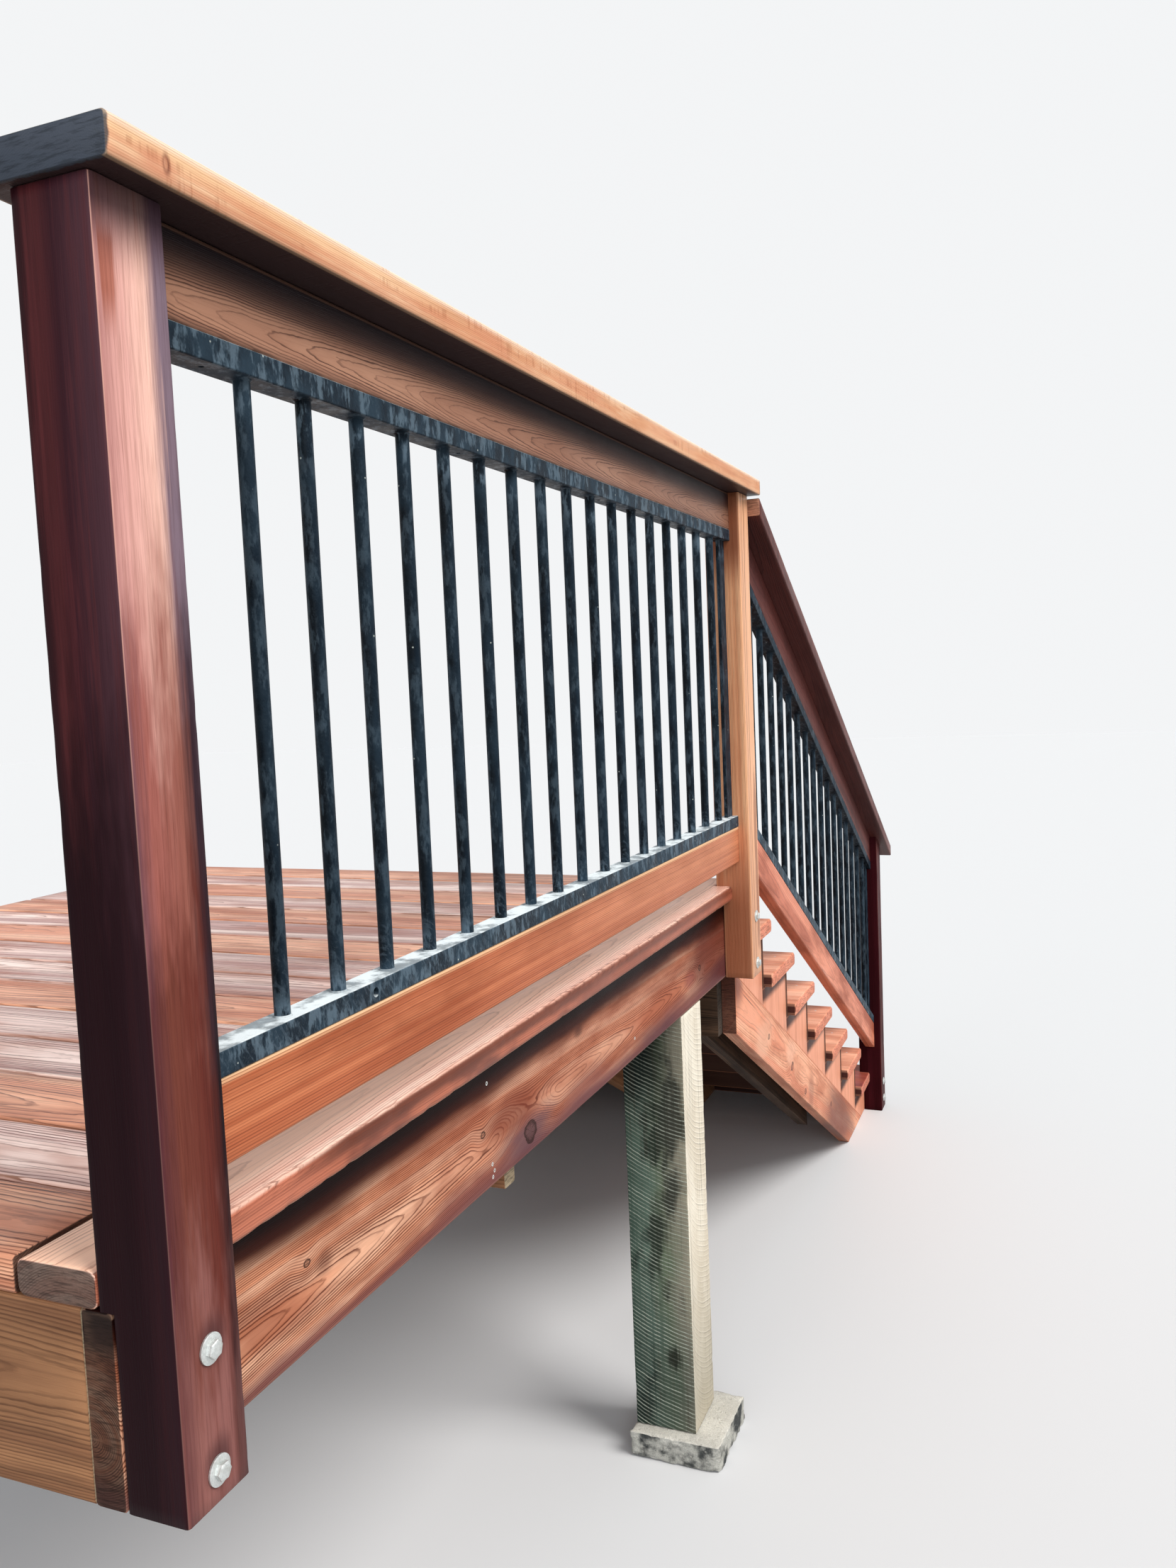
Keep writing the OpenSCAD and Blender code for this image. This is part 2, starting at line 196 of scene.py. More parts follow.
class Finish(Tree):
    """A material, with the patterns that its colours are made of."""

    def __init__(self, name, **sockets):
        self.material = bpy.data.materials.new(name)
        self.material.use_nodes = True
        super().__init__(self.material.node_tree)
        self.shader = self.tree.nodes["Principled BSDF"]
        for socket, value in sockets.items():
            self.shader.inputs[socket.replace("_", " ")].default_value = value

    def swing(self, pattern, size):
        """A noise pattern made to swing about zero."""
        return self.times(self.minus(pattern, 0.5), size)

    def vector(self, operation, a, b):
        return self.node("ShaderNodeVectorMath", {0: a, 1: b}, operation=operation).outputs[0]

    def join(self, x, y, z):
        return self.node("ShaderNodeCombineXYZ", {0: x, 1: y, 2: z}).outputs[0]

    def parts(self, vector):
        return self.node("ShaderNodeSeparateXYZ", {0: vector}).outputs[:3]

    def rise(self, value, low, high, start=0.0, end=1.0):
        """A smooth step from start to end as value goes from low to high."""
        return self.node("ShaderNodeMapRange", {0: value, 1: low, 2: high, 3: start, 4: end},
                         interpolation_type="SMOOTHSTEP").outputs[0]

    def noise(self, place, detail=2.0, rough=0.5, output=0):
        return self.node("ShaderNodeTexNoise", {"Vector": place, "Scale": 1.0, "Detail": detail,
                                                "Roughness": rough}).outputs[output]

    def patches(self, x, y, z, detail=2.0, rough=0.5):
        """Noise over the piece, finer along an axis whose number is greater."""
        return self.noise(self.stretch(self.place(), x, y, z), detail, rough)

    def cells(self, place):
        return self.node("ShaderNodeTexVoronoi", {"Vector": place, "Scale": 1.0}).outputs

    def pick(self, number):
        """A random value from 0 to 1 for each whole number."""
        return self.node("ShaderNodeTexWhiteNoise", {"W": number}, noise_dimensions="1D").outputs[0]

    def blend(self, amount, a, b, kind="MIX"):
        """Goes from a to b, each a colour or its hexadecimal digits."""
        a, b = (tint(c) if isinstance(c, str) else c for c in (a, b))
        return self.node("ShaderNodeMix", {0: amount, 6: a, 7: b}, data_type="RGBA",
                         blend_type=kind).outputs[2]

    def attribute(self, name, output):
        return self.node("ShaderNodeAttribute", attribute_name=name).outputs[output]

    def stretch(self, place, *scale):
        return self.vector("MULTIPLY", place, scale)

    def place(self):
        return self.node("ShaderNodeTexCoord").outputs["Object"]

    def layout(self):
        """The place of each point, in metres from the deck's outer near corner."""
        return self.vector("SUBTRACT", self.place(), tuple(CORNER))

    def off(self, centre):
        """The place of each point, in metres from a centre given in millimetres."""
        return self.vector("SUBTRACT", self.layout(), tuple(c * MM for c in centre))

    def facing(self):
        """The way that each point faces."""
        return self.parts(self.node("ShaderNodeNewGeometry").outputs["Normal"])

    def length(self, vector):
        return self.node("ShaderNodeVectorMath", {0: vector}, operation="LENGTH").outputs[1]

    def ramp(self, value, stops):
        """A colour that passes through the stops, each a place and its colour."""
        made = self.node("ShaderNodeValToRGB", {0: value})
        points = made.color_ramp.elements
        points[0].position, points[1].position = stops[0][0], stops[-1][0]
        for at, _ in stops[1:-1]:
            points.new(at)
        for point, (_, shade) in zip(points, stops):
            point.color = tint(shade)
        return made.outputs[0]

    def finish(self, colour, roughness, height=None, depth=0.0005):
        self.feed(self.shader.inputs["Base Color"], colour)
        self.feed(self.shader.inputs["Roughness"], roughness)
        if height is not None:
            bump = self.node("ShaderNodeBump", {"Strength": 1.0, "Distance": depth, "Height": height})
            self.feed(self.shader.inputs["Normal"], bump.outputs[0])
        return self.material


KNOT_RING = 0.0034


def cedar(name, pale, deep, line, stain, spacing=2.6, width=1.1, taper=0.012, wander=7.0, length=1.4,
          ripple=1.0, flat=True, lines=0.75, bands=0.8, streaks=0.35, clouds=0.5, knots=0.15, cracks=0.3,
          saw=0.0, rough=0.46, shine=0.15, gloss=0.0, second=None, own_knots=(), marks=(), end_tone="2c2320",
          end_mix=0.85, end_line="1c1513", edge_highlight=0.20, paint=None):
    """Wood whose rings are cut by each board's faces. The grain attribute holds each point's place along
    the board and across it from the heart of the tree, in metres, with a different start for each board.
    spacing and width are those of the rings and of their dark lines, and wander is the heart's, all in
    millimetres. lines to cracks say how strongly each pattern shows, and second is a second pair of colours
    for boards whose tone is over a half."""
    f = Finish(name, Coat_Weight=gloss, Coat_Roughness=0.30, Specular_IOR_Level=shine)
    grain = f.attribute("grain", "Vector")
    tone = f.attribute("tone", "Fac")
    edge = f.attribute("edge", "Fac")
    end = f.attribute("end", "Fac")
    along, across, deep_in = f.parts(grain)

    # The heart drifts along the board and the tree tapers, which draws the long arches on a flat face
    drift = f.noise(f.stretch(grain, length, 3.0, 3.0), output=1)
    drift = f.vector("SUBTRACT", drift, (0.5, 0.5, 0.5))
    warped = f.vector("ADD", grain, f.stretch(drift, 0.0, wander * MM * 4, wander * MM * 4))
    wv, ww = f.parts(warped)[1:]
    radius = f.calc("SQRT", f.plus(f.times(wv, wv), f.times(ww, ww)))
    reach = f.plus(radius, f.times(along, taper))
    wobble = f.noise(f.stretch(grain, 16.0, 60.0, 60.0), 3.0, 0.62)
    reach = f.plus(reach, f.swing(wobble, ripple * 0.0020))

    # Knots, each seen from its side of the board, with the rings bent round them
    spot = f.cells(f.join(f.times(along, 2.6), f.times(across, 2.6), f.times(deep_in, 0.7)))
    chance = f.parts(spot["Color"])[0]
    size = f.rise(chance, 1.0 - knots, 1.0, 0.0, 0.030)
    gap = spot["Distance"]
    knot = f.times(f.rise(gap, 0.0, f.plus(size, 1e-5), 1.0, 0.0), f.rise(size, 0.002, 0.008))
    pull = f.times(f.rise(gap, 0.0, f.plus(f.times(size, 5.0), 1e-5), 1.0, 0.0), f.times(size, 0.5))
    for centre, radius_at in own_knots:
        wide = radius_at * MM
        off = f.off(centre)
        far = f.length(f.stretch(off, 0.3, 0.75, 1.0))
        far = f.plus(far, f.swing(wobble, wide))
        aside, up = f.parts(off)[1:]
        round_it = f.plus(f.calc("ARCTAN2", up, aside), f.times(wobble, 2.5))
        spokes = f.rise(f.calc("ABSOLUTE", f.calc("SINE", f.times(round_it, 3.5))), 0.0, 0.35, 0.35, 0.0)
        turns = f.plus(f.times(f.calc("SINE", f.times(far, 2 * pi / KNOT_RING)), 0.05), 0.34)
        turns = f.plus(turns, f.rise(far, wide * 0.45, wide * 0.9, 0.0, 0.45))
        turns = f.plus(turns, spokes)
        knot = f.calc("MAXIMUM", knot, f.times(turns, f.rise(far, wide * 0.85, wide, 1.0, 0.0)))
        pull = f.plus(pull, f.rise(far, 0.0, wide * 5, wide * 0.95, 0.0))
    reach = f.plus(reach, pull)

    rings = f.calc("DIVIDE", reach, spacing * MM)
    count = f.calc("FLOOR", rings)
    part = f.minus(rings, count)
    strength = f.pick(f.plus(count, f.times(tone, 91.0)))
    # A dark line keeps about one width where the face cuts the rings at a low angle
    if flat:
        cut = f.calc("DIVIDE", f.calc("MINIMUM", f.calc("ABSOLUTE", wv), f.calc("ABSOLUTE", ww)), radius)
        share = f.calc("MINIMUM", f.times(f.plus(cut, 0.12), width / spacing * 2.0), 0.7)
    else:
        share = min(0.65, width / spacing)
    begin = f.minus(0.97, share)
    late = f.times(f.rise(part, begin, f.plus(begin, f.times(share, 0.75))), f.rise(part, 0.95, 1.0, 1.0, 0.0))
    late = f.times(late, f.plus(f.times(strength, 0.6), 0.4))
    if flat:
        late = f.times(late, f.rise(cut, 0.0, 0.30, 0.50, 1.0))

    # Bands of colour that follow the rings, long streaks, soft clouds of stain, and fine fibres
    band = f.node("ShaderNodeTexNoise", {"W": f.plus(f.times(reach, 60.0), f.times(tone, 37.0)), "Scale": 1.0,
                                         "Detail": 3.0}, noise_dimensions="1D").outputs[0]
    streak = f.noise(f.stretch(warped, 1.8, 130.0, 130.0), 3.0, 0.6)
    fibre = f.noise(f.stretch(grain, 22.0, 800.0, 800.0), 2.0)
    cloud = f.noise(f.stretch(grain, 3.0, 12.0, 12.0), 4.0, 0.58)
    amount = f.times(f.rise(band, 0.34, 0.66), bands)
    colour = f.blend(amount, pale, deep)
    if second:
        other = f.blend(amount, second[0], second[1])
        colour = f.blend(f.rise(tone, 0.45, 0.55), colour, other)
    colour = f.blend(f.times(f.rise(cloud, 0.40, 0.66), clouds), colour, stain)
    if paint:
        colour = paint(f, colour)
    colour = f.blend(f.times(f.rise(streak, 0.45, 0.75), streaks), colour, line, "DARKEN")
    summer = f.times(f.rise(part, 0.30, 0.95), f.times(strength, 0.45 * lines))
    colour = f.blend(summer, colour, (0.62, 0.50, 0.45, 1.0), "MULTIPLY")
    colour = f.blend(f.times(late, lines), colour, line, "DARKEN")
    colour = f.blend(f.times(late, lines * 0.35), colour, (0.45, 0.38, 0.35, 1.0), "MULTIPLY")
    colour = f.blend(f.times(f.rise(fibre, 0.5, 0.8), 0.30), colour, (0.45, 0.36, 0.32, 1.0), "MULTIPLY")
    # A painted highlight along the rounded edges, as strong as edge_highlight.
    colour = f.blend(f.times(f.rise(edge, 0.55, 1.0), edge_highlight), colour, pale)
    for centre, radii, shade, much in marks:
        far = f.length(f.stretch(f.off(centre), *(1 / (r * MM) for r in radii)))
        far = f.plus(far, f.swing(cloud, 1.6))
        colour = f.blend(f.rise(far, 0.25, 1.0, much, 0.0), colour, shade)

    # Cracks along the grain, in a few places only
    split = f.noise(f.stretch(warped, 3.0, 210.0, 210.0), 1.0)
    where = f.noise(f.stretch(grain, 1.7, 14.0, 14.0), 1.0)
    crack = f.times(f.rise(split, 0.71, 0.75), f.rise(where, 0.84 - cracks * 0.4, 0.90 - cracks * 0.4))
    colour = f.blend(f.times(crack, 0.85), colour, "241410")
    colour = f.blend(f.times(f.rise(knot, 0.0, 0.8), 0.88), colour, "2b1511")
    colour = f.blend(f.times(f.rise(end, 0.2, 0.9), end_mix), colour, end_tone)
    end_grain = f.noise(f.stretch(grain, 1.0, 45.0, 420.0), 3.0, 0.6)
    colour = f.blend(f.times(end, f.rise(end_grain, 0.44, 0.66), 0.55), colour, end_line)

    height = f.plus(f.times(fibre, 0.5), f.times(late, 0.4 * lines))
    height = f.minus(height, f.times(crack, 2.2))
    height = f.minus(height, f.times(knot, 0.5))
    if saw:
        teeth = f.rise(f.noise(f.stretch(grain, 150.0, 6.0, 6.0), 1.0), 0.52, 0.66)
        teeth = f.times(teeth, f.rise(f.noise(f.stretch(grain, 7.0, 60.0, 60.0)), 0.48, 0.62))
        colour = f.blend(f.times(teeth, 0.40 * saw), colour, line, "DARKEN")
        height = f.minus(height, f.times(teeth, 0.6 * saw))
    dull = f.plus(rough, f.swing(cloud, 0.45))
    dull = f.plus(dull, f.times(end, 0.3))
    return f.finish(colour, dull, height, 0.0004)


def near_post_stain_and_light(f, colour):
    """The outer face runs from an orange strip through a pale band to a slate edge; high up the pale band is
    painted reflection, and painted shadow darkens its top under the cap. Lower down it is a plain red-brown.
    The near face is dark with painted shade, and a painted highlight runs along the edge between the two faces."""
    x, y, z = f.parts(f.layout())
    outward, away, _ = f.facing()
    nearward = f.times(away, -1.0)
    slow = f.patches(14.0, 14.0, 1.5, 3.0, 0.6)
    quick = f.patches(110.0, 110.0, 3.5, 5.0, 0.65)
    patchy = f.patches(40.0, 40.0, 7.0, 3.0, 0.6)
    sway = f.plus(f.swing(slow, 0.18), f.swing(quick, 0.30))
    over = f.plus(f.calc("DIVIDE", y, POST_W * MM), sway)
    height = f.plus(z, f.swing(patchy, 0.5))
    pores = f.patches(480.0, 480.0, 16.0, 3.0, 0.6)
    foot = f.ramp(over, ((0.0, "562f34"), (0.3, "743e33"), (0.74, "662f27"), (1.0, "160b12")))
    middle = f.ramp(over, ((0.0, "744c53"), (0.22, "a6635a"), (0.68, "965c50"), (0.88, "35242c")))
    # High on the outer face the head colours, pale pink across the middle, are painted reflection; the slate
    # edge is the wood's own.
    head = f.ramp(over, ((0.0, "ba837e"), (0.2, "e6aca3"), (0.64, "fdccbb"), (0.82, "84707d")))
    outer = f.blend(f.rise(height, 1.48, 1.68), foot, middle)
    outer = f.blend(f.rise(height, 1.71, 2.04), outer, head)
    rust = f.times(f.rise(over, 0.02, 0.09), f.rise(over, 0.20, 0.28, 1.0, 0.0))
    rust = f.times(rust, f.rise(z, 2.11, 2.16), f.rise(z, 2.195, 2.22, 1.0, 0.0), 0.75)
    outer = f.blend(rust, outer, "a5573d")
    # Painted shadow under the cap, at the top of the outer face.
    outer = f.blend(f.rise(z, 2.165, 2.235, 0.0, 0.85), outer, "3f2832")
    bloom = f.times(f.rise(height, 1.34, 1.12), f.rise(over, 0.0, 0.35, 0.20, 0.55))
    outer = f.blend(f.times(bloom, f.rise(over, 0.72, 0.86, 1.0, 0.45)), outer, "a87570")
    outer = f.blend(f.times(f.rise(quick, 0.50, 0.70), 0.32), outer, "7d4034", "DARKEN")
    outer = f.blend(f.times(f.rise(pores, 0.46, 0.72), 0.30), outer, (0.45, 0.36, 0.33, 1.0), "MULTIPLY")
    over = f.plus(f.calc("DIVIDE", f.plus(x, POST_NOTCH * MM), POST_W * MM), sway)
    # The near face: painted shade, darkest along its inner edge and lower down.
    near = f.ramp(over, ((0.0, "200b11"), (0.30, "4a2124"), (0.48, "34171f"), (1.0, "4e323a")))
    near = f.blend(f.times(f.rise(quick, 0.46, 0.70), 0.5), near, "5c2a2c")
    deepen = f.rise(over, 0.50, 0.90, 0.96, 0.80)
    near = f.blend(f.times(f.rise(height, 1.96, 1.60), deepen), near, "1a050b")
    both = f.blend(f.rise(nearward, 0.55, 0.8), outer, near)
    # A painted highlight along the edge between the outer and near faces.
    edge_highlight = f.times(f.rise(outward, 0.55, 0.7), f.rise(nearward, 0.5, 0.65))
    both = f.blend(f.times(edge_highlight, f.rise(z, 1.55, 2.0, 0.12, 0.7)), both, "e0aa9b")
    return f.blend(f.rise(f.calc("MAXIMUM", outward, nearward), 0.3, 0.6), colour, both)


def torn_edge_and_light(f, colour):
    """Dark torn grain along the outer upper edge, a browner front with painted shade along its upper part, and
    painted light on the top's inner part, where the rail's shadow falls.
    """
    x, y, z = f.parts(f.layout())
    outward, _, upward = f.facing()
    from_edge = f.length(f.join(f.minus(x, EDGE_OVER * MM), 0.0, f.minus(z, DECK_Z * MM)))
    rising = f.minus(f.plus(z, f.times(x, 0.6)), f.times(y, 0.16))
    torn = f.noise(f.join(f.times(rising, 520.0), f.times(y, 24.0), 0.0), 5.0, 0.7)
    patch = f.patches(12.0, 4.0, 12.0, 3.0)
    top = f.rise(upward, 0.80, 0.95)
    # Painted light on the top's inner part, under the rail.
    colour = f.blend(f.times(top, f.rise(x, 0.012, -0.035, 0.0, 0.9)), colour, "ffcdae")
    soft = f.patches(20.0, 6.0, 20.0, 3.0, 0.6)
    front = f.blend(f.rise(soft, 0.38, 0.62), "c06f52", "7d402e")
    front = f.blend(f.rise(y, 0.85, 1.3, 0.0, 0.5), front, "b96a50")
    front = f.blend(f.rise(y, 0.34, 0.22), front, "d07d60")
    colour = f.blend(f.times(f.rise(outward, 0.55, 0.90), 0.985), colour, front)
    # Painted shade along the front's upper part.
    shaded = f.times(f.rise(outward, 0.35, 0.75), f.rise(z, 1.260, 1.273))
    depth = f.calc("MINIMUM", f.rise(y, 0.24, 0.36, 0.2, 0.88), f.rise(y, 0.8, 1.2, 0.88, 0.7))
    colour = f.blend(f.times(shaded, depth), colour, "64311f")
    colour = f.blend(f.rise(z, 1.251, 1.247, 0.0, 0.55), colour, "c98a6a")
    near_edge = f.rise(from_edge, 0.012, 0.022, 1.0, 0.0)
    torn = f.times(f.rise(torn, 0.48, 0.64), near_edge, f.rise(patch, 0.40, 0.60, 0.15, 1.0), 0.80)
    return f.blend(torn, colour, "5f3021")


def lower_rail_highlight(f, colour):
    """The deck's lower rail: a painted highlight along its upper edge, lighter towards the far end, over a
    plain red-brown face.
    """
    y, z = f.parts(f.layout())[1:]
    colour = f.blend(f.rise(y, 0.6, 1.5, 0.0, 0.40), colour, "e6a27e")
    # Painted highlight along the upper edge.
    colour = f.blend(f.rise(z, (PANEL_Z - 9) * MM, (PANEL_Z - 1) * MM, 0.0, 0.85), colour, "f0d2a6")
    return f.blend(f.rise(z, FOOT_RAIL_Z * MM, (FOOT_RAIL_Z + 50) * MM, 0.4, 0.0), colour, "bd6644")


def cap_shadow(f, colour):
    """The deck's top rail: painted shadow under the cap, fading out half way down, darker towards the far end
    and along its lower edge.
    """
    y, z = f.parts(f.layout())[1:]
    colour = f.blend(f.rise(y, 0.5, 1.9, 0.0, 0.40), colour, "6d4a3e")
    colour = f.blend(f.rise(z, (TOP_RAIL_Z + 12) * MM, (TOP_RAIL_Z + 1) * MM, 0.0, 0.55), colour, "5a3a32")
    # Painted shadow of the cap.
    colour = f.blend(f.rise(z, (CAP_Z - 54) * MM, (CAP_Z - 22) * MM, 0.0, 0.97), colour, "36211f")
    return f.blend(f.rise(z, (CAP_Z - 28) * MM, (CAP_Z - 8) * MM, 0.0, 0.92), colour, "1a1015")


def cap_stain_and_light(f, colour):
    """The cap: painted shade beneath, a painted highlight along the upper edge, and slate ends that bleed a
    little into the wood.
    """
    y, z = f.parts(f.layout())[1:]
    outward, _, upward = f.facing()
    # A painted highlight along the upper outer edge.
    top_highlight = f.times(f.rise(z, (CAP_Z + BOARD_T - 11) * MM, (CAP_Z + BOARD_T - 1) * MM),
                       f.rise(upward, 0.9, 0.5, 0.3, 0.8))
    side = f.rise(outward, 0.6, 0.9)
    patch = f.patches(12.0, 4.5, 26.0, 4.0, 0.6)
    near = f.rise(y, 0.75, 0.25)
    for amount, shade in ((f.rise(patch, 0.46, 0.62, 0.0, 0.6), "d98f6c"),
                          (f.rise(patch, 0.46, 0.34, 0.0, 0.5), "ffdcb6"),
                          (f.times(near, f.rise(z, (CAP_Z + 16) * MM, CAP_Z * MM, 0.0, 0.6)), "b96d54"),
                          (f.times(near, f.rise(z, (CAP_Z + 14) * MM, (CAP_Z + 26) * MM, 0.0, 0.55)),
                           "ffd6a6"),
                          (f.rise(y, 0.9, 1.9, 0.0, 0.45), "df9560")):
        colour = f.blend(f.times(side, amount), colour, shade)
    colour = f.blend(top_highlight, colour, "f8e6d4")
    # Painted shade on the underside.
    colour = f.blend(f.rise(upward, -0.5, -0.9, 0.0, 0.985), colour, "281c21")
    from_end = f.minus((DECK_LEN / 2 + CAP_OVER) * MM, f.calc("ABSOLUTE", f.minus(y, DECK_LEN / 2 * MM)))
    bleed = f.plus(from_end, f.swing(f.patches(120.0, 20.0, 120.0), 0.006))
    return f.blend(f.rise(bleed, 0.0015, 0.0045, 0.9, 0.0), colour, "39404b")


def rim_shade(f, colour):
    """The rim board: painted shadow under the border, and purple-brown along its foot and towards the far end.
    """
    y, z = f.parts(f.layout())[1:]
    patch = f.swing(f.patches(6.0, 3.0, 14.0, 3.0, 0.55), 0.10)
    far = f.plus(y, f.times(patch, 4.0))
    colour = f.blend(f.rise(far, 0.50, 0.72, 0.0, 0.35), colour, "9c4c38")
    colour = f.blend(f.rise(far, 1.66, 1.92, 0.0, 0.80), colour, "653029")
    foot = f.rise(f.plus(z, patch), (FRAME_FOOT + 44) * MM, (FRAME_FOOT + 4) * MM, 0.0, 0.75)
    colour = f.blend(foot, colour, "7b4c4f")
    # Near the near end the painted shadow reaches less far down, as a painted patch of sunlight.
    z = f.minus(z, f.rise(y, 0.30, 0.10, 0.0, 0.014))
    # Painted shadow of the border, darkest at the top.
    shade = f.rise(f.plus(z, f.times(patch, 0.4)), (FRAME_TOP - 78) * MM, (FRAME_TOP - 38) * MM, 0.0, 0.988)
    colour = f.blend(shade, colour, "34110a")
    return f.blend(f.rise(z, (FRAME_TOP - 44) * MM, (FRAME_TOP - 20) * MM, 0.0, 0.97), colour, "170504")


def post_shade(f, colour):
    """The middle post: the faces other than the outer one keep a lighter colour, as painted light on the shaded
    near face, and painted shade darkens the post at the foot and near the cap, mostly off the outer face.
    """
    z = f.parts(f.layout())[2]
    outer = f.rise(f.facing()[0], 0.7, 0.95)
    foot = f.rise(z, 1.50, 1.22, 0.0, 0.88)
    head = f.rise(z, 2.00, 2.13, 0.0, 0.90)
    # The outer face gets its own colour; the other faces keep the lighter one as painted light.
    colour = f.blend(f.times(outer, 0.8), colour, "f5bb93")
    inward = f.minus(1.0, f.times(outer, 0.7))
    # Painted shade at the foot and near the cap.
    colour = f.blend(f.times(foot, inward), colour, "9a5b3f")
    return f.blend(f.times(head, f.minus(1.0, outer)), colour, "8d4f35")


def tread_end_shade(f, colour):
    """The treads: painted shade on the edges that face the deck, where they stand out past the stringer."""
    x = f.parts(f.layout())[0]
    back = f.rise(f.facing()[1], -0.45, -0.8)
    return f.blend(f.times(back, f.rise(x, -0.03, 0.0), 0.985), colour, "43231f")


def riser_back_shade(f, colour):
    """The risers: their backs, which face under the deck, are dark with painted shade."""
    back = f.facing()[1]
    return f.blend(f.rise(back, -0.45, -0.8, 0.0, 0.96), colour, "241410")


def tread_shadow(f, colour):
    """The step blocks: painted shadow close under each tread."""
    y, z = f.parts(f.layout())[1:]
    step = f.calc("FLOOR", f.calc("DIVIDE", f.minus(y, DECK_LEN * MM), RUN * MM))
    under = f.minus((DECK_Z - RISE - TREAD_T) * MM, f.times(step, RISE * MM))
    drop = f.minus(under, z)
    return f.blend(f.rise(drop, 0.052, 0.026, 0.0, 0.96), colour, "3a1c18")


def outer_sheen(f, colour):
    """A painted grey sheen on the outer faces of the dark red wood."""
    outer = f.facing()[0]
    x = f.parts(f.layout())[0]
    blotches = f.patches(30.0, 30.0, 6.0, 3.0, 0.6)
    amount = f.times(f.rise(outer, 0.5, 0.9), f.rise(blotches, 0.38, 0.62, 0.0, 0.70))
    return f.blend(f.times(amount, f.rise(x, 0.05, 0.10, 0.35, 1.0)), colour, "7a4641")


SAWN_HEART = 60
SAW_MIDDLE = {"near": 0.149, "outer": 0.105}
SAW_RADIUS = {"near": 0.45, "outer": 0.215}
SAW_PITCH = {"near": 0.0096, "outer": 0.0125}
SAWN_KNOT = (-49, 237)


def rough_sawn(name):
    """Old sawn wood: arcs of the saw, green-black on the near face and beige on the outer one, with painted
    shadow of the deck at the top of the near face.
    """
    f = Finish(name, Specular_IOR_Level=0.10)
    grain = f.attribute("grain", "Vector")
    end = f.attribute("end", "Fac")
    x, _, z = f.parts(f.layout())
    left, back = (f.plus(part, SAWN_HEART * MM) for part in f.parts(grain)[1:])
    streak = f.noise(f.stretch(grain, 2.2, 90.0, 90.0), 3.0, 0.6)
    fibre = f.noise(f.stretch(grain, 18.0, 900.0, 900.0), 2.0)
    cloud = f.patches(9.0, 9.0, 4.0, 4.0, 0.6)

    def arcs(face, across, low, high, start):
        off = f.minus(across, SAW_MIDDLE[face])
        bow = f.calc("SQRT", f.minus(SAW_RADIUS[face] ** 2, f.times(off, off)))
        phase = f.calc("DIVIDE", f.plus(f.plus(z, bow), f.times(cloud, 0.016)), SAW_PITCH[face])
        count = f.calc("FLOOR", phase)
        part = f.minus(phase, count)
        peak = f.times(f.rise(part, 0.0, 0.22), f.rise(part, 0.26, 0.50, 1.0, 0.0))
        peak = f.times(peak, f.plus(0.25, f.times(f.pick(count), 0.75)))
        return f.times(peak, f.rise(streak, low, high, start, 1.0))

    outer = f.rise(f.facing()[0], 0.2, 0.7)
    near_arcs = arcs("near", left, 0.28, 0.55, 0.25)
    outer_arcs = arcs("outer", back, 0.30, 0.60, 0.3)
    part = f.plus(f.plus(f.calc("DIVIDE", left, SUPPORT_W * MM), 0.5), f.swing(cloud, 0.9))
    near = f.ramp(part, ((0.0, "43554b"), (0.35, "5c7063"), (0.6, "69755f"), (0.85, "928d7c"),
                         (1.0, "a29c88")))
    near = f.blend(f.rise(z, 0.50, 0.15, 0.0, 0.65), near, "2c3833")
    near = f.blend(f.times(f.rise(cloud, 0.50, 0.62), 0.85), near, "131c19")
    # Painted shadow of the deck near the top of the near face.
    near = f.blend(f.times(f.rise(z, 0.74, 0.92), f.rise(part, 0.45, 0.85, 0.93, 0.25)), near, "0d1614")
    near = f.blend(f.times(near_arcs, f.rise(z, 0.78, 0.98, 0.9, 0.45)), near, "bcc3b4")
    knot = f.length(f.join(f.minus(x, SAWN_KNOT[0] * MM), 0.0, f.times(f.minus(z, SAWN_KNOT[1] * MM), 0.6)))
    near = f.blend(f.rise(f.plus(knot, f.swing(streak, 0.03)), 0.008, 0.024, 0.8, 0.0), near, "14130f")
    light = f.blend(f.rise(cloud, 0.35, 0.7), "f2ead9", "dcd1bd")
    light = f.blend(f.times(outer_arcs, 0.6), light, "f2ebdd")
    light = f.blend(f.rise(z, 0.55, 0.10, 0.0, 0.60), light, "8c8572")
    colour = f.blend(outer, near, light)
    colour = f.blend(f.times(f.rise(streak, 0.52, 0.8), 0.5), colour, "3a3226")
    colour = f.blend(f.times(end, 0.5), colour, "3a3226")
    height = f.plus(f.blend(outer, near_arcs, outer_arcs), f.times(fibre, 0.7))
    return f.finish(colour, f.plus(0.72, f.times(fibre, 0.2)), height, 0.0012)


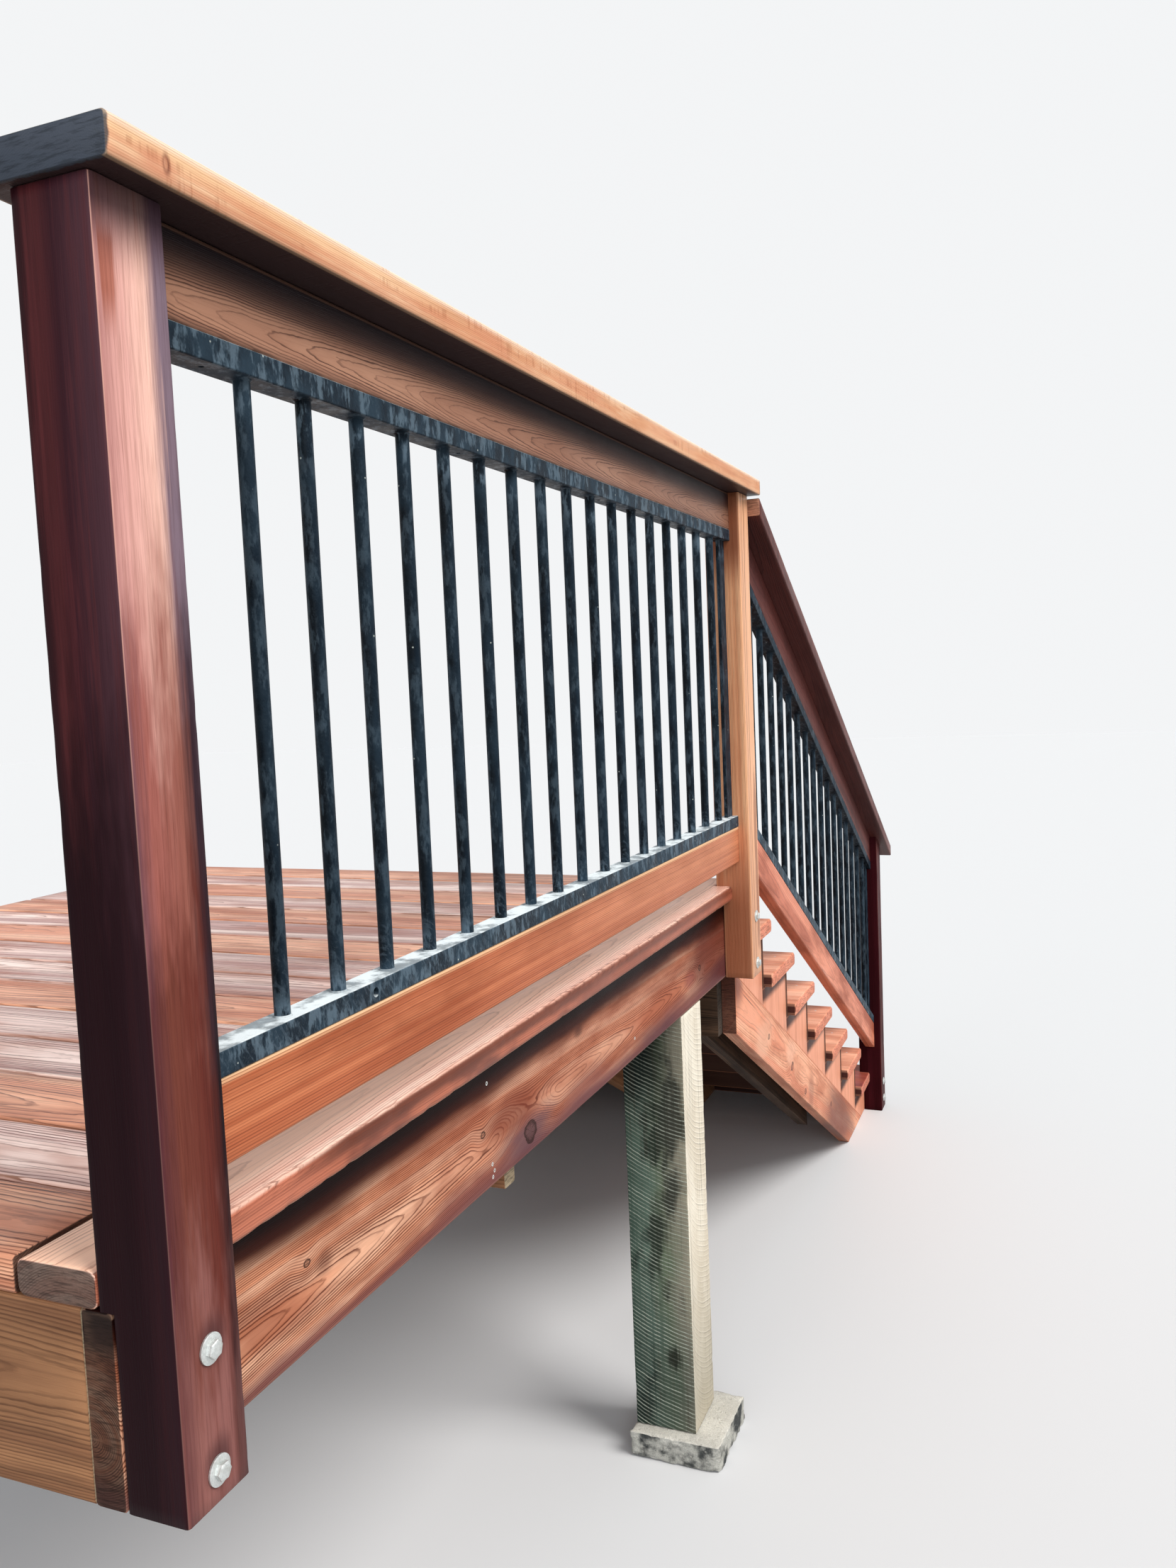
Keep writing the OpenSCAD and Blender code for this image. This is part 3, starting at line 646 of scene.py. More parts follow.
def painted_steel(name):
    """Dark paint over steel, lighter on the sides that face the lamps as painted light, with smears, paler
    upward faces, pale dust low down, specks and a pitted skin.
    """
    f = Finish(name, Specular_IOR_Level=0.08)
    outward, away, upward = f.facing()
    sunny = f.plus(outward, f.times(away, 0.4))
    x, y, z = f.parts(f.layout())
    smudge = f.patches(22.0, 22.0, 12.0, 5.0, 0.62)
    wipes = f.patches(90.0, 70.0, 28.0, 4.0, 0.65)
    mottle = f.patches(210.0, 210.0, 210.0, 4.0, 0.7)
    pits = f.cells(f.stretch(f.place(), 380.0, 380.0, 240.0))["Distance"]
    specks = f.cells(f.stretch(f.place(), 60.0, 60.0, 60.0))
    beyond = f.calc("MAXIMUM", f.minus(y, DECK_LEN * MM), 0.0)
    height = f.plus(z, f.times(beyond, RAIL_FALL))
    dusty = f.rise(height, 1.56, 1.45, 0.08, 1.0)
    smeared = f.calc("MAXIMUM", f.rise(height, 2.06, 2.13), f.rise(height, 1.50, 1.46))
    strokes = f.noise(f.stretch(f.join(f.plus(y, f.times(z, 0.6)), x, z), 160.0, 40.0, 40.0), 4.0, 0.65)
    dots = f.times(f.rise(specks["Distance"], 0.04, 0.10, 1.0, 0.0),
                   f.rise(f.parts(specks["Color"])[1], 0.86, 0.9))
    # Painted light: the sides that face the lamps are lighter.
    colour = f.blend(f.rise(sunny, -0.3, 1.0), "030a11", "101d28")
    for pattern, much, shade in (
            (f.rise(smudge, 0.40, 0.62), f.rise(smeared, 0.0, 1.0, 0.35, 0.85), "2a3b48"),
            (f.rise(wipes, 0.48, 0.62), f.rise(smeared, 0.0, 1.0, 0.20, 0.65), "637684"),
            (f.rise(mottle, 0.52, 0.72), f.times(dusty, 0.22), "76848f"),
            (f.rise(strokes, 0.50, 0.66), f.times(dusty, 0.38), "5b6a77"),
            (f.rise(upward, 0.5, 0.95), f.rise(smudge, 0.44, 0.60, 0.98, 0.30), "eaf3f6"),
            (dots, 0.8, "c4ccc6")):
        colour = f.blend(f.times(pattern, much), colour, shade)
    skin = f.plus(f.times(f.rise(pits, 0.0, 0.5), 0.5), f.times(mottle, 0.9))
    return f.finish(colour, f.rise(smudge, 0.3, 0.7, 0.36, 0.60), skin, 0.0004)


def zinc(name):
    """Dull zinc plating with its crystal patches."""
    f = Finish(name, Metallic=0.75)
    flakes = f.parts(f.cells(f.stretch(f.place(), 700.0, 700.0, 700.0))["Color"])[0]
    blotches = f.patches(90.0, 90.0, 90.0, 3.0)
    colour = f.blend(flakes, "c9cdcb", "dcdfdd")
    colour = f.blend(f.times(f.rise(blotches, 0.48, 0.75), 0.45), colour, "a09f94")
    return f.finish(colour, f.rise(flakes, 0.0, 1.0, 0.36, 0.46), blotches, 0.0001)


def concrete(name):
    """Coarse cast concrete with sand and pale chips at its skin, paler on the upward faces, partly their own
    sandy skin and partly painted light.
    """
    f = Finish(name)
    grit = f.patches(380.0, 380.0, 380.0, 5.0, 0.75)
    sand = f.parts(f.cells(f.stretch(f.place(), 520.0, 520.0, 520.0))["Color"])[0]
    chips = f.cells(f.stretch(f.place(), 110.0, 110.0, 110.0))
    cloud = f.patches(14.0, 14.0, 14.0, 4.0, 0.6)
    up = f.facing()[2]
    colour = f.blend(f.rise(cloud, 0.42, 0.58), "d2d1c8", "2c3133")
    # Paler upward faces, partly their own sandy skin and partly painted light.
    colour = f.blend(f.times(f.rise(up, 0.3, 0.9), 0.85), colour, "eeeade")
    colour = f.blend(f.times(sand, 0.22), colour, "63645e")
    colour = f.blend(f.times(f.rise(grit, 0.54, 0.70), 0.6), colour, "3a3d3a")
    chip = f.times(f.rise(chips["Distance"], 0.15, 0.42, 1.0, 0.0),
                   f.rise(f.parts(chips["Color"])[0], 0.72, 0.8))
    colour = f.blend(f.times(chip, 0.6), colour, "cfcdc3")
    height = f.plus(f.plus(grit, f.times(sand, 0.5)), f.times(chip, 0.6))
    return f.finish(colour, 0.9, height, 0.0022)


# Where the larger knots stand, as a place and a radius, and the darker or paler patches, as a place, three
# radii, a colour and how much of it shows, in millimetres
RIM_KNOTS = [((0, 905, 1084), 20), ((0, 741, 1139), 7), ((0, 296, 1153), 6), ((0, 1859, 1126), 8)]
RIM_MARKS = [((0, 900, 1074), (60, 160, 58), "5e424a", 0.85), ((0, 850, 1138), (60, 150, 46), "742f1d", 0.75),
             ((0, 1150, 1075), (60, 190, 50), "7c4a46", 0.6), ((0, 1120, 1188), (60, 30, 16), "3a1c1a", 0.6),
             ((0, 1560, 1060), (60, 260, 45), "4b2a35", 0.65), ((0, 2030, 1080), (60, 190, 55), "4a2730", 0.65),
             ((0, 330, 1140), (60, 26, 22), "5a2c20", 0.5), ((0, 1100, 1048), (60, 1400, 26), "5c3036", 0.6),
             ((0, 1780, 1120), (60, 60, 30), "8f4a44", 0.5)]
CAP_MARKS = [((103, 52, 2268), (40, 34, 16), "cf8464", 0.6), ((103, 62, 2271), (30, 7, 13), "6e3524", 0.85),
             ((103, 61, 2271), (30, 3.5, 8), "d79a78", 0.9)]
BOLT_MARKS = [((73, 44, DECK_Z - drop + 8), (40, 24, 34), "3d2326", 0.7) for drop in BOLT_DROP]
BAND_KNOTS = [((0, 2507, 770), 9), ((0, 2792, 592), 14), ((0, 2972, 450), 11), ((0, 3384, 264), 10)]
# On the stringer band, the dark patch at the upper near corner is painted shadow of the middle post, and the
# two pale patches are painted pools of light.
BAND_MARKS = [((0, 3520, 140), (60, 470, 290), "6c3527", 0.85),
              ((0, 2190, 1000), (60, 75, 75), "7a4639", 0.8), ((0, 2450, 780), (60, 130, 70), "e8b193", 0.6),
              ((0, 2780, 640), (60, 90, 60), "eeb79b", 0.5), ((0, 3060, 420), (60, 60, 90), "8a4f3c", 0.5)]

WOODS = {
    "cap": cedar("cedar_cap", "fbd3ab", "e8a880", "9a552f", "cd8558", spacing=2.2, lines=0.35, taper=0.003,
                 wander=4, streaks=0.25, knots=0.0, saw=0.8, marks=CAP_MARKS, end_tone="3f4651",
                 end_mix=0.985, end_line="1d2228", paint=cap_stain_and_light),
    "top_rail": cedar("cedar_top_rail", "bf8d72", "a3735c", "40221b", "8a5844", spacing=1.7, lines=0.9,
                      taper=-0.028, wander=3, length=2.6, ripple=1.2, streaks=0.12, knots=0.0, clouds=0.4,
                      width=0.75, paint=cap_shadow),
    "bottom_rail": cedar("cedar_bottom_rail", "da855a", "b35c37", "6c3016", "8f4324", spacing=3.0, lines=0.6,
                         taper=0.002, wander=2, ripple=0.5, bands=0.8, streaks=0.25, knots=0.0, cracks=0.1,
                         clouds=0.6, flat=False, width=1.4, paint=lower_rail_highlight),
    "rim": cedar("cedar_rim", "ffc8a6", "ea9a72", "5a2416", "94492f", spacing=2.3, lines=0.9, taper=0.028,
                 wander=4, length=2.0, ripple=1.0, streaks=0.2, knots=0.0, cracks=0.15, clouds=0.7,
                 width=1.1, shine=0.05, own_knots=RIM_KNOTS, marks=RIM_MARKS, paint=rim_shade),
    # The border's very pale pink is partly its own colour and partly painted reflection of the sky on its top.
    "border": cedar("cedar_border", "ffd9c4", "f5bda6", "8f4a38", "e8ab95", spacing=2.4, lines=0.55,
                    taper=0.010, wander=4, streaks=0.25, knots=0.0, cracks=0.5, rough=0.42, shine=0.22,
                    edge_highlight=0.0, paint=torn_edge_and_light),
    "near_post": cedar("cedar_near_post", "b5705c", "8a4a3c", "3a161a", "5a2a28", spacing=2.3, lines=0.10,
                       taper=0.002, wander=5, ripple=1.5, streaks=0.05, clouds=0.25, knots=0.0, cracks=0.1,
                       rough=0.42, shine=0.05, flat=False, marks=BOLT_MARKS, edge_highlight=0.0, paint=near_post_stain_and_light),
    "middle_post": cedar("cedar_middle_post", "ffc698", "ee9a6a", "7e3f25", "cc7a54", spacing=3.2, lines=0.8,
                         taper=0.001, wander=2, ripple=0.4, bands=0.7, streaks=0.25, clouds=0.4, knots=0.0,
                         cracks=0.0, rough=0.42, flat=False, paint=post_shade),
    "bottom_post": cedar("cedar_bottom_post", "40141a", "300c10", "1f0608", "280a0d", spacing=2.2, lines=0.3,
                         wander=3, streaks=0.3, clouds=0.5, knots=0.05, rough=0.42, shine=0.02, edge_highlight=0.0,
                         paint=outer_sheen),
    # The pale pink second colours of alternate deck boards are partly the boards' own tone and partly painted
    # reflection of the sky.
    "deck": cedar("cedar_deck", "f6b895", "d08260", "5c2a1c", "a86249", spacing=2.8, lines=0.95, wander=6,
                  streaks=0.55, clouds=0.6, knots=0.25, cracks=0.9, gloss=0.05, rough=0.40, shine=0.20,
                  second=("ffe4da", "ab7670")),
    "tread": cedar("cedar_tread", "ffbe9c", "f09f7b", "7e3a26", "bd694a", spacing=2.6, lines=0.6, wander=5,
                   streaks=0.35, clouds=0.6, knots=0.2, cracks=0.4, end_tone="e3917a", end_mix=0.7,
                   second=("9a4a40", "7d3430"), paint=tread_end_shade),
    "riser": cedar("cedar_riser", "f5a67c", "dc835c", "76381f", "a95f42", spacing=2.6, lines=0.6, wander=5,
                   streaks=0.3, clouds=0.5, knots=0.2, cracks=0.4, second=("8a4037", "6c2c29"),
                   paint=riser_back_shade),
    "stringer": cedar("cedar_stringer", "fbb691", "ec9571", "934b2f", "b8694b", spacing=3.4, lines=0.5,
                      wander=6, streaks=0.3, clouds=0.75, knots=0.0, cracks=0.6, own_knots=BAND_KNOTS,
                      marks=BAND_MARKS, end_tone="4a2a24"),
    "block": cedar("cedar_block", "f6ab8a", "da8a68", "7c3b2a", "9a5442", spacing=3.6, lines=0.12, wander=8,
                   bands=0.3, streaks=0.10, clouds=0.3, knots=0.3, cracks=0.4, end_tone="7a3f30",
                   paint=tread_shadow),
    "raked_cap": cedar("cedar_raked_cap", "6b3832", "4b2624", "2a100f", "3d1c1b", spacing=2.4, lines=0.6,
                       wander=5, streaks=0.35, clouds=0.5, knots=0.1, end_tone="c08a70", edge_highlight=0.1,
                       paint=outer_sheen),
    "raked_rail": cedar("cedar_raked_rail", "ea9475", "cb7256", "7c3a29", "98503a", spacing=2.8, lines=0.5,
                        wander=5, streaks=0.3, clouds=0.75, knots=0.1),
    "framing": cedar("cedar_framing", "a97a56", "8a5f43", "452b1e", "6c4a35", spacing=2.8, lines=0.6,
                     wander=7, streaks=0.5, knots=0.4, cracks=0.4, rough=0.62, end_tone="b3a489"),
    "old": cedar("weathered_wood", "604837", "402f23", "1a120c", "30221a", spacing=2.8, lines=0.8, wander=7,
                 streaks=0.7, clouds=0.8, knots=0.4, cracks=1.0, rough=0.75, end_tone="5a5048"),
}
SAWN = rough_sawn("sawn_post_wood")
STEEL = painted_steel("dark_painted_steel")
ZINC = zinc("dull_zinc")
CONCRETE = concrete("cast_concrete")


# ---------------------------------------------------------------- boards

CORNER_STEPS = 3
BESIDE_EDGE = 5.0
NARROW = 12
SHARP_FROM = 42


def add_object(name, data):
    made = bpy.data.objects.new(name, data)
    bpy.context.scene.collection.objects.link(made)
    return made


def outline(a0, a1, b0, b1, radius, count_a, count_b):
    """Points round a board's section: place, outward direction, and 1 at a rounded corner or 0 on a flat."""
    radius = min(radius, (a1 - a0) / 2.1, (b1 - b0) / 2.1)
    corners = [(a1 - radius, b1 - radius), (a0 + radius, b1 - radius), (a0 + radius, b0 + radius),
               (a1 - radius, b0 + radius)]
    points = []
    for i, (ca, cb) in enumerate(corners):
        for k in range(CORNER_STEPS + 1):
            turn = pi / 2 * (i + k / CORNER_STEPS)
            points.append((ca + radius * cos(turn), cb + radius * sin(turn), cos(turn), sin(turn), 1.0))
        na, nb = cos(turn), sin(turn)
        sa, sb = points[-1][:2]
        ea, eb = corners[(i + 1) % 4][0] + radius * na, corners[(i + 1) % 4][1] + radius * nb
        length = max(abs(ea - sa), abs(eb - sb), 1e-6)
        count = (count_a, count_b)[i % 2]
        near = min(BESIDE_EDGE / length, 0.3)
        for k in range(count):
            part = 0.5 if count == 1 else near + (1 - 2 * near) * k / (count - 1)
            points.append((sa + (ea - sa) * part, sb + (eb - sb) * part, na, nb, 0.0))
    return points


class Timber:
    """Boards of one piece. Each is swept along its length through stations (along, a0, a1, b0, b1)."""

    def __init__(self, name, node, slot, wood, seed):
        self.name, self.node, self.slot, self.wood = name, node, slot, wood
        self.random = random.Random(seed)
        self.points, self.faces = [], []
        self.grain, self.tone, self.edge, self.end = [], [], [], []

    def board(self, stations, put, heart, radius=4.0, step=30.0, worn=0.5, chips=0.0, flat=28.0, grain=None,
              tone=None, ease=1.5):
        """put takes (along, a, b) to a place; grain takes it to (length, across, thickness) in the wood.
        heart is where the heart of the tree lies from the middle of the section, in the grain's axes."""
        grain = grain or (lambda s, a, b: (s, a, b))
        tone = self.random.random() if tone is None else tone
        start = self.random.uniform(0, 40)
        shift = Vector([self.random.uniform(0, 90) for _ in range(3)])
        widest = max(a1 - a0 for _, a0, a1, _, _ in stations)
        tallest = max(b1 - b0 for _, _, _, b0, b1 in stations)
        count_a, count_b = (max(2, round(size / flat)) if size > NARROW else 1 for size in (widest, tallest))
        s, a0, a1, b0, b1 = stations[len(stations) // 2]
        middle = grain(s, (a0 + a1) / 2, (b0 + b1) / 2)

        first, last = stations[0], stations[-1]
        inner = [(first[0] + ease,) + first[1:]] + list(stations[1:-1]) + [(last[0] - ease,) + last[1:]]
        keys = [(first[0],) + inset(first, ease) + (1.0,), inner[0] + (0.0,)]
        for p, q in zip(inner, inner[1:]):
            pieces = max(1, round(abs(q[0] - p[0]) / step))
            for k in range(1, pieces + 1):
                part = k / pieces
                keys.append(tuple(p[i] + (q[i] - p[i]) * part for i in range(5)) + (0.0,))
        keys.append((last[0],) + inset(last, ease) + (1.0,))

        base = len(self.points)
        for s, a0, a1, b0, b1, is_end in keys:
            ring = outline(a0, a1, b0, b1, radius, count_a, count_b)
            size = len(ring)
            for a, b, na, nb, corner in ring:
                g = Vector(grain(s, a, b))
                p = g * MM + shift
                dent = worn * (0.5 + 0.5 * noise.noise(Vector((p.x * 3.0, p.y * 26.0, p.z * 26.0))))
                if chips and corner:
                    bite = noise.noise(Vector((p.x * 42.0, p.y * 60.0, p.z * 60.0)))
                    bite += 0.5 * noise.noise(Vector((p.x * 11.0, p.y * 30.0, p.z * 30.0)))
                    dent += chips * max(0.0, bite - 0.25)
                if is_end:
                    dent *= 0.3
                a, b = a - na * dent, b - nb * dent
                self.points.append(put(s, a, b))
                g = Vector(grain(s, a, b))
                self.grain.append((g.x * MM + start, (g.y - middle[1] - heart[0]) * MM,
                                   (g.z - middle[2] - heart[1]) * MM))
                self.tone.append(tone)
                self.edge.append(corner)
                self.end.append(is_end)
        for i in range(len(keys) - 1):
            for j in range(size):
                k = (j + 1) % size
                self.faces.append((base + i * size + j, base + i * size + k,
                                   base + (i + 1) * size + k, base + (i + 1) * size + j))
        self.faces.append(tuple(base + j for j in range(size)))
        self.faces.append(tuple(base + (len(keys) - 1) * size + j for j in range(size)))

    def make(self):
        mesh = bpy.data.meshes.new(self.name)
        mesh.from_pydata([CORNER + Vector(p) * MM for p in self.points], [], self.faces)
        for name, kind, values in (("grain", "FLOAT_VECTOR", self.grain), ("tone", "FLOAT", self.tone),
                                   ("edge", "FLOAT", self.edge), ("end", "FLOAT", self.end)):
            layer = mesh.attributes.new(name, kind, "POINT")
            if kind == "FLOAT":
                layer.data.foreach_set("value", values)
            else:
                layer.data.foreach_set("vector", [c for v in values for c in v])
        whole = bmesh.new()
        whole.from_mesh(mesh)
        bmesh.ops.recalc_face_normals(whole, faces=whole.faces)
        whole.to_mesh(mesh)
        whole.free()
        mesh.shade_smooth()
        mesh.set_sharp_from_angle(angle=radians(SHARP_FROM))
        piece = add_object(self.name, mesh)
        mesh.materials.append(self.wood)
        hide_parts(self.node)
        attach(piece, "root")


def one_board(node, slot, wood, seed, stations, put, heart, **how):
    """A piece that is one board."""
    t = Timber("cedar_" + node, node, slot, WOODS[wood], seed)
    t.board(stations, put, heart, **how)
    t.make()


def inset(station, by):
    a0, a1, b0, b1 = station[1:]
    return (a0 + by, a1 - by, b0 + by, b1 - by)


def along_y(s, a, b):
    return (a, s, b)


def along_x(s, a, b):
    return (s, a, b)


def along_z(s, a, b):
    return (a, b, s)


def upright_grain(s, a, b):
    return (b, s, a)


def raked_grain(fall):
    """The wood's axes in a board that falls along Y: down the rake, across, and square to the rake."""
    turn = atan(fall)
    return lambda s, a, b: (s * cos(turn) - b * sin(turn), a, s * sin(turn) + b * cos(turn))


def level(s0, s1, a0, a1, b0, b1):
    return [(s0, a0, a1, b0, b1), (s1, a0, a1, b0, b1)]


def raked(x0, x1, z, height, y0, y1):
    """Stations of a raked board, cut plumb at both ends."""
    return [(y, x0, x1, z - (y - DECK_LEN) * RAIL_FALL, z - (y - DECK_LEN) * RAIL_FALL + height * PLUMB)
            for y in (y0, y1)]


def seam_at(y):
    return SEAM_Z - (y - DECK_LEN) * SLOPE


def bearing(k):
    return DECK_Z - k * RISE - TREAD_T


def step_y(k):
    return DECK_LEN + (k - 1) * RUN


def deck_boards():
    t = Timber("cedar_deck_boards", "deck_boards", "deck_cedar", WOODS["deck"], 11)
    tones = (0.2, 0.85, 0.3, 0.9, 0.7, 0.1, 0.8, 0.95, 0.2, 0.95, 0.25, 0.75, 0.15, 0.9, 0.05)
    for i in range(BOARD_COUNT):
        y = i * (BOARD_W + DECK_GAP)
        t.board(level(INNER_X, BOARD_END, y, y + BOARD_W, FRAME_TOP, DECK_Z), along_x,
                (t.random.uniform(-25, 25), -t.random.uniform(55, 110)), step=40, worn=0.8, chips=1.0,
                tone=tones[i])
    t.make()


def border_board():
    a0, a1 = EDGE_OVER - BOARD_W, EDGE_OVER
    z = (FRAME_TOP, DECK_Z)
    one_board("border_board", "deck_cedar", "border", 12,
              [(0, a0, -POST_NOTCH) + z, (POST_W, a0, -POST_NOTCH) + z, (POST_W, a0, a1) + z,
               (MIDDLE_Y, a0, a1) + z, (MIDDLE_Y, a0, -POST_NOTCH) + z, (DECK_LEN, a0, -POST_NOTCH) + z,
               (DECK_LEN, a0, a1) + z, (NOSE_Y, a0, a1) + z],
              along_y, (18, -75), radius=9, step=6, worn=0.8, chips=2.0, tone=0.5)


def frame_boards():
    one_board("rim_board", "frame_cedar", "rim", 13, level(0, DECK_LEN, -BOARD_T, 0, FRAME_FOOT, FRAME_TOP),
              along_y, (-13, -30), step=12, worn=0.6, chips=0.8, tone=0.55)
    one_board("ledger_board", "frame_cedar", "framing", 14,
              level(0, DECK_LEN, INNER_X, INNER_X + BOARD_T, FRAME_FOOT, FRAME_TOP), along_y, (-80, -10))
    wide = (INNER_X + BOARD_T, -BOARD_T)
    foot = SEAM_Z - BAND_PLUMB
    for name, y, z0, z1, seed in (("near_header", 0, FRAME_FOOT, FRAME_TOP, 15),
                                  ("far_header", DECK_LEN - BOARD_T, FRAME_FOOT, FRAME_TOP, 16),
                                  ("hanger_board", DECK_LEN - BOARD_T, foot, FRAME_FOOT, 17),
                                  ("cross_beam", BEAM_Y - BOARD_T / 2, JOIST_FOOT - BEAM_H, JOIST_FOOT, 18)):
        wood = WOODS["old" if name == "hanger_board" else "framing"]
        t = Timber("cedar_" + name, name, "frame_cedar", wood, seed)
        t.board(level(*wide, y, y + BOARD_T, z0, z1), along_x, (-90, t.random.uniform(-20, 20)))
        t.make()
    t = Timber("cedar_deck_joists", "deck_joists", "frame_cedar", WOODS["framing"], 19)
    bay = (DECK_W - BOARD_T) / (JOIST_COUNT + 1)
    for i in range(1, JOIST_COUNT + 1):
        x = -BOARD_T - i * bay
        t.board(level(BOARD_T, DECK_LEN - BOARD_T, x, x + BOARD_T, JOIST_FOOT, FRAME_TOP), along_y,
                (-80, t.random.uniform(-20, 20)))
    t.make()


def guard_posts():
    full = (-POST_NOTCH, POST_W - POST_NOTCH)
    notched = (0, POST_W - POST_NOTCH)
    for name, y, heart, seed in (("near_post", 0, (-150, 70), 21), ("middle_post", MIDDLE_Y, (-160, 25), 22)):
        b = (y, y + POST_W)
        one_board(name, "post_cedar", name, seed, [(FRAME_FOOT,) + notched + b, (FRAME_TOP,) + notched + b,
                                                   (FRAME_TOP,) + full + b, (CAP_Z,) + full + b],
                  along_z, heart, step=14, worn=0.7, chips=0.8, flat=14)
    top = RAKED_TOP_Z - (BOTTOM_Y - DECK_LEN) * RAIL_FALL
    seat = bearing(TREAD_COUNT)
    stretch = 80
    b = (BOTTOM_Y, BOTTOM_Y + POST_W)

    def raked_top(s, x, y):
        """The post's top is cut to the rake of the cap, over its last stretch."""
        part = max(0.0, (s - (top - stretch)) / stretch)
        return (x, y, s - part * (y - BOTTOM_Y) * RAIL_FALL)

    one_board("bottom_post", "post_cedar", "bottom_post", 23,
              [(0,) + notched + b, (seat,) + notched + b, (seat,) + full + b, (top,) + full + b], raked_top,
              (-60, 75), step=20, worn=0.7, chips=0.8, flat=14, tone=0.85, ease=1.0)


def rails():
    cap = (RAIL_X - CAP_W / 2, RAIL_X + CAP_W / 2)
    rail = (RAIL_X - RAIL_T / 2, RAIL_X + RAIL_T / 2)
    rake = raked_grain(RAIL_FALL)
    for node, wood, seed, stations, heart, how in (
            ("deck_cap", "cap", 31, level(-CAP_OVER, DECK_LEN + CAP_OVER, *cap, CAP_Z, CAP_Z + BOARD_T),
             (28, -95), dict(step=12, worn=0.6, chips=0.6, tone=0.4)),
            ("deck_top_rail", "top_rail", 32, level(POST_W, MIDDLE_Y, *rail, TOP_RAIL_Z, CAP_Z),
             (-13, -20), dict(step=20, tone=0.45)),
            ("deck_bottom_rail", "bottom_rail", 33, level(POST_W, MIDDLE_Y, *rail, FOOT_RAIL_Z, PANEL_Z),
             (-40, -150), dict(step=20, tone=0.5)),
            ("stair_cap", "raked_cap", 34, raked(*cap, RAKED_TOP_Z, BOARD_T, DECK_LEN, RAKED_END),
             (20, -80), dict(step=20, worn=0.6, chips=0.8, grain=rake, tone=0.7)),
            ("stair_top_rail", "raked_cap", 35,
             raked(*rail, RAKED_TOP_Z - RAIL_H * PLUMB, RAIL_H, DECK_LEN, BOTTOM_Y),
             (-70, 10), dict(step=24, grain=rake, tone=0.7)),
            ("stair_bottom_rail", "raked_rail", 36, raked(*rail, RAKED_BOTTOM_Z, RAIL_H, DECK_LEN, BOTTOM_Y),
             (-70, -12), dict(step=24, grain=rake, tone=0.45))):
        one_board(node, "rail_cedar", wood, seed, stations, along_y, heart, **how)


def stringers():
    toe = BAND_TOE_Y - 3
    one_board("stringer_band", "stair_cedar", "stringer", 41,
              [(DECK_LEN, -BOARD_T, 0, SEAM_Z - BAND_PLUMB, SEAM_Z),
               (BAND_HEEL_Y, -BOARD_T, 0, 0, seam_at(BAND_HEEL_Y)), (toe, -BOARD_T, 0, 0, seam_at(toe))],
              along_y, (-75, 20), radius=2, step=14, worn=0.5, chips=0.8, flat=20, grain=raked_grain(SLOPE),
              tone=0.4, ease=0.6)
    t = Timber("cedar_step_blocks", "step_blocks", "stair_cedar", WOODS["block"], 42)
    for k in range(1, TREAD_COUNT + 1):
        back = step_y(k) + (0 if k == 1 else BLOCK_JOINT)
        front = step_y(k + 1)
        low = [(y, -BOARD_T, 0, max(0, seam_at(y)), bearing(k)) for y in (back, front)]
        if k == TREAD_COUNT:
            low.insert(1, (BAND_TOE_Y, -BOARD_T, 0, 0, bearing(k)))
        t.board(low, along_y, (t.random.uniform(-60, 60), -70), radius=1.5, step=40, worn=0.4,
                grain=upright_grain, flat=20, ease=0.6)
    t.make()
    t = Timber("weathered_old_stringer", "old_stringer", "old_wood", WOODS["old"], 43)
    carriage(t, -OLD_INSET, DECK_LEN + OLD_LEN)
    t.make()
    t = Timber("cedar_inner_stringers", "inner_stringers", "frame_cedar", WOODS["framing"], 44)
    for i in range(INNER_COUNT):
        carriage(t, -OLD_INSET - (i + 1) * INNER_BAY, STAIR_FOOT_Y)
    t.make()


def carriage(t, x, stop):
    """A stringer cut in steps, from the header to its level foot or to a plumb cut."""
    stations = []
    for k in range(1, TREAD_COUNT + 1):
        back, front = step_y(k), step_y(k + 1)
        if back < stop:
            ends = sorted({min(y, stop) for y in (back, BAND_HEEL_Y, front) if back <= y <= front})
            stations += [(y, x - BOARD_T, x, max(0, seam_at(y) - BAND_PLUMB), bearing(k)) for y in ends]
    t.board(stations, along_y, (-80, 10), radius=1.5, step=40, worn=0.8, chips=1.0, grain=raked_grain(SLOPE),
            ease=0.8)


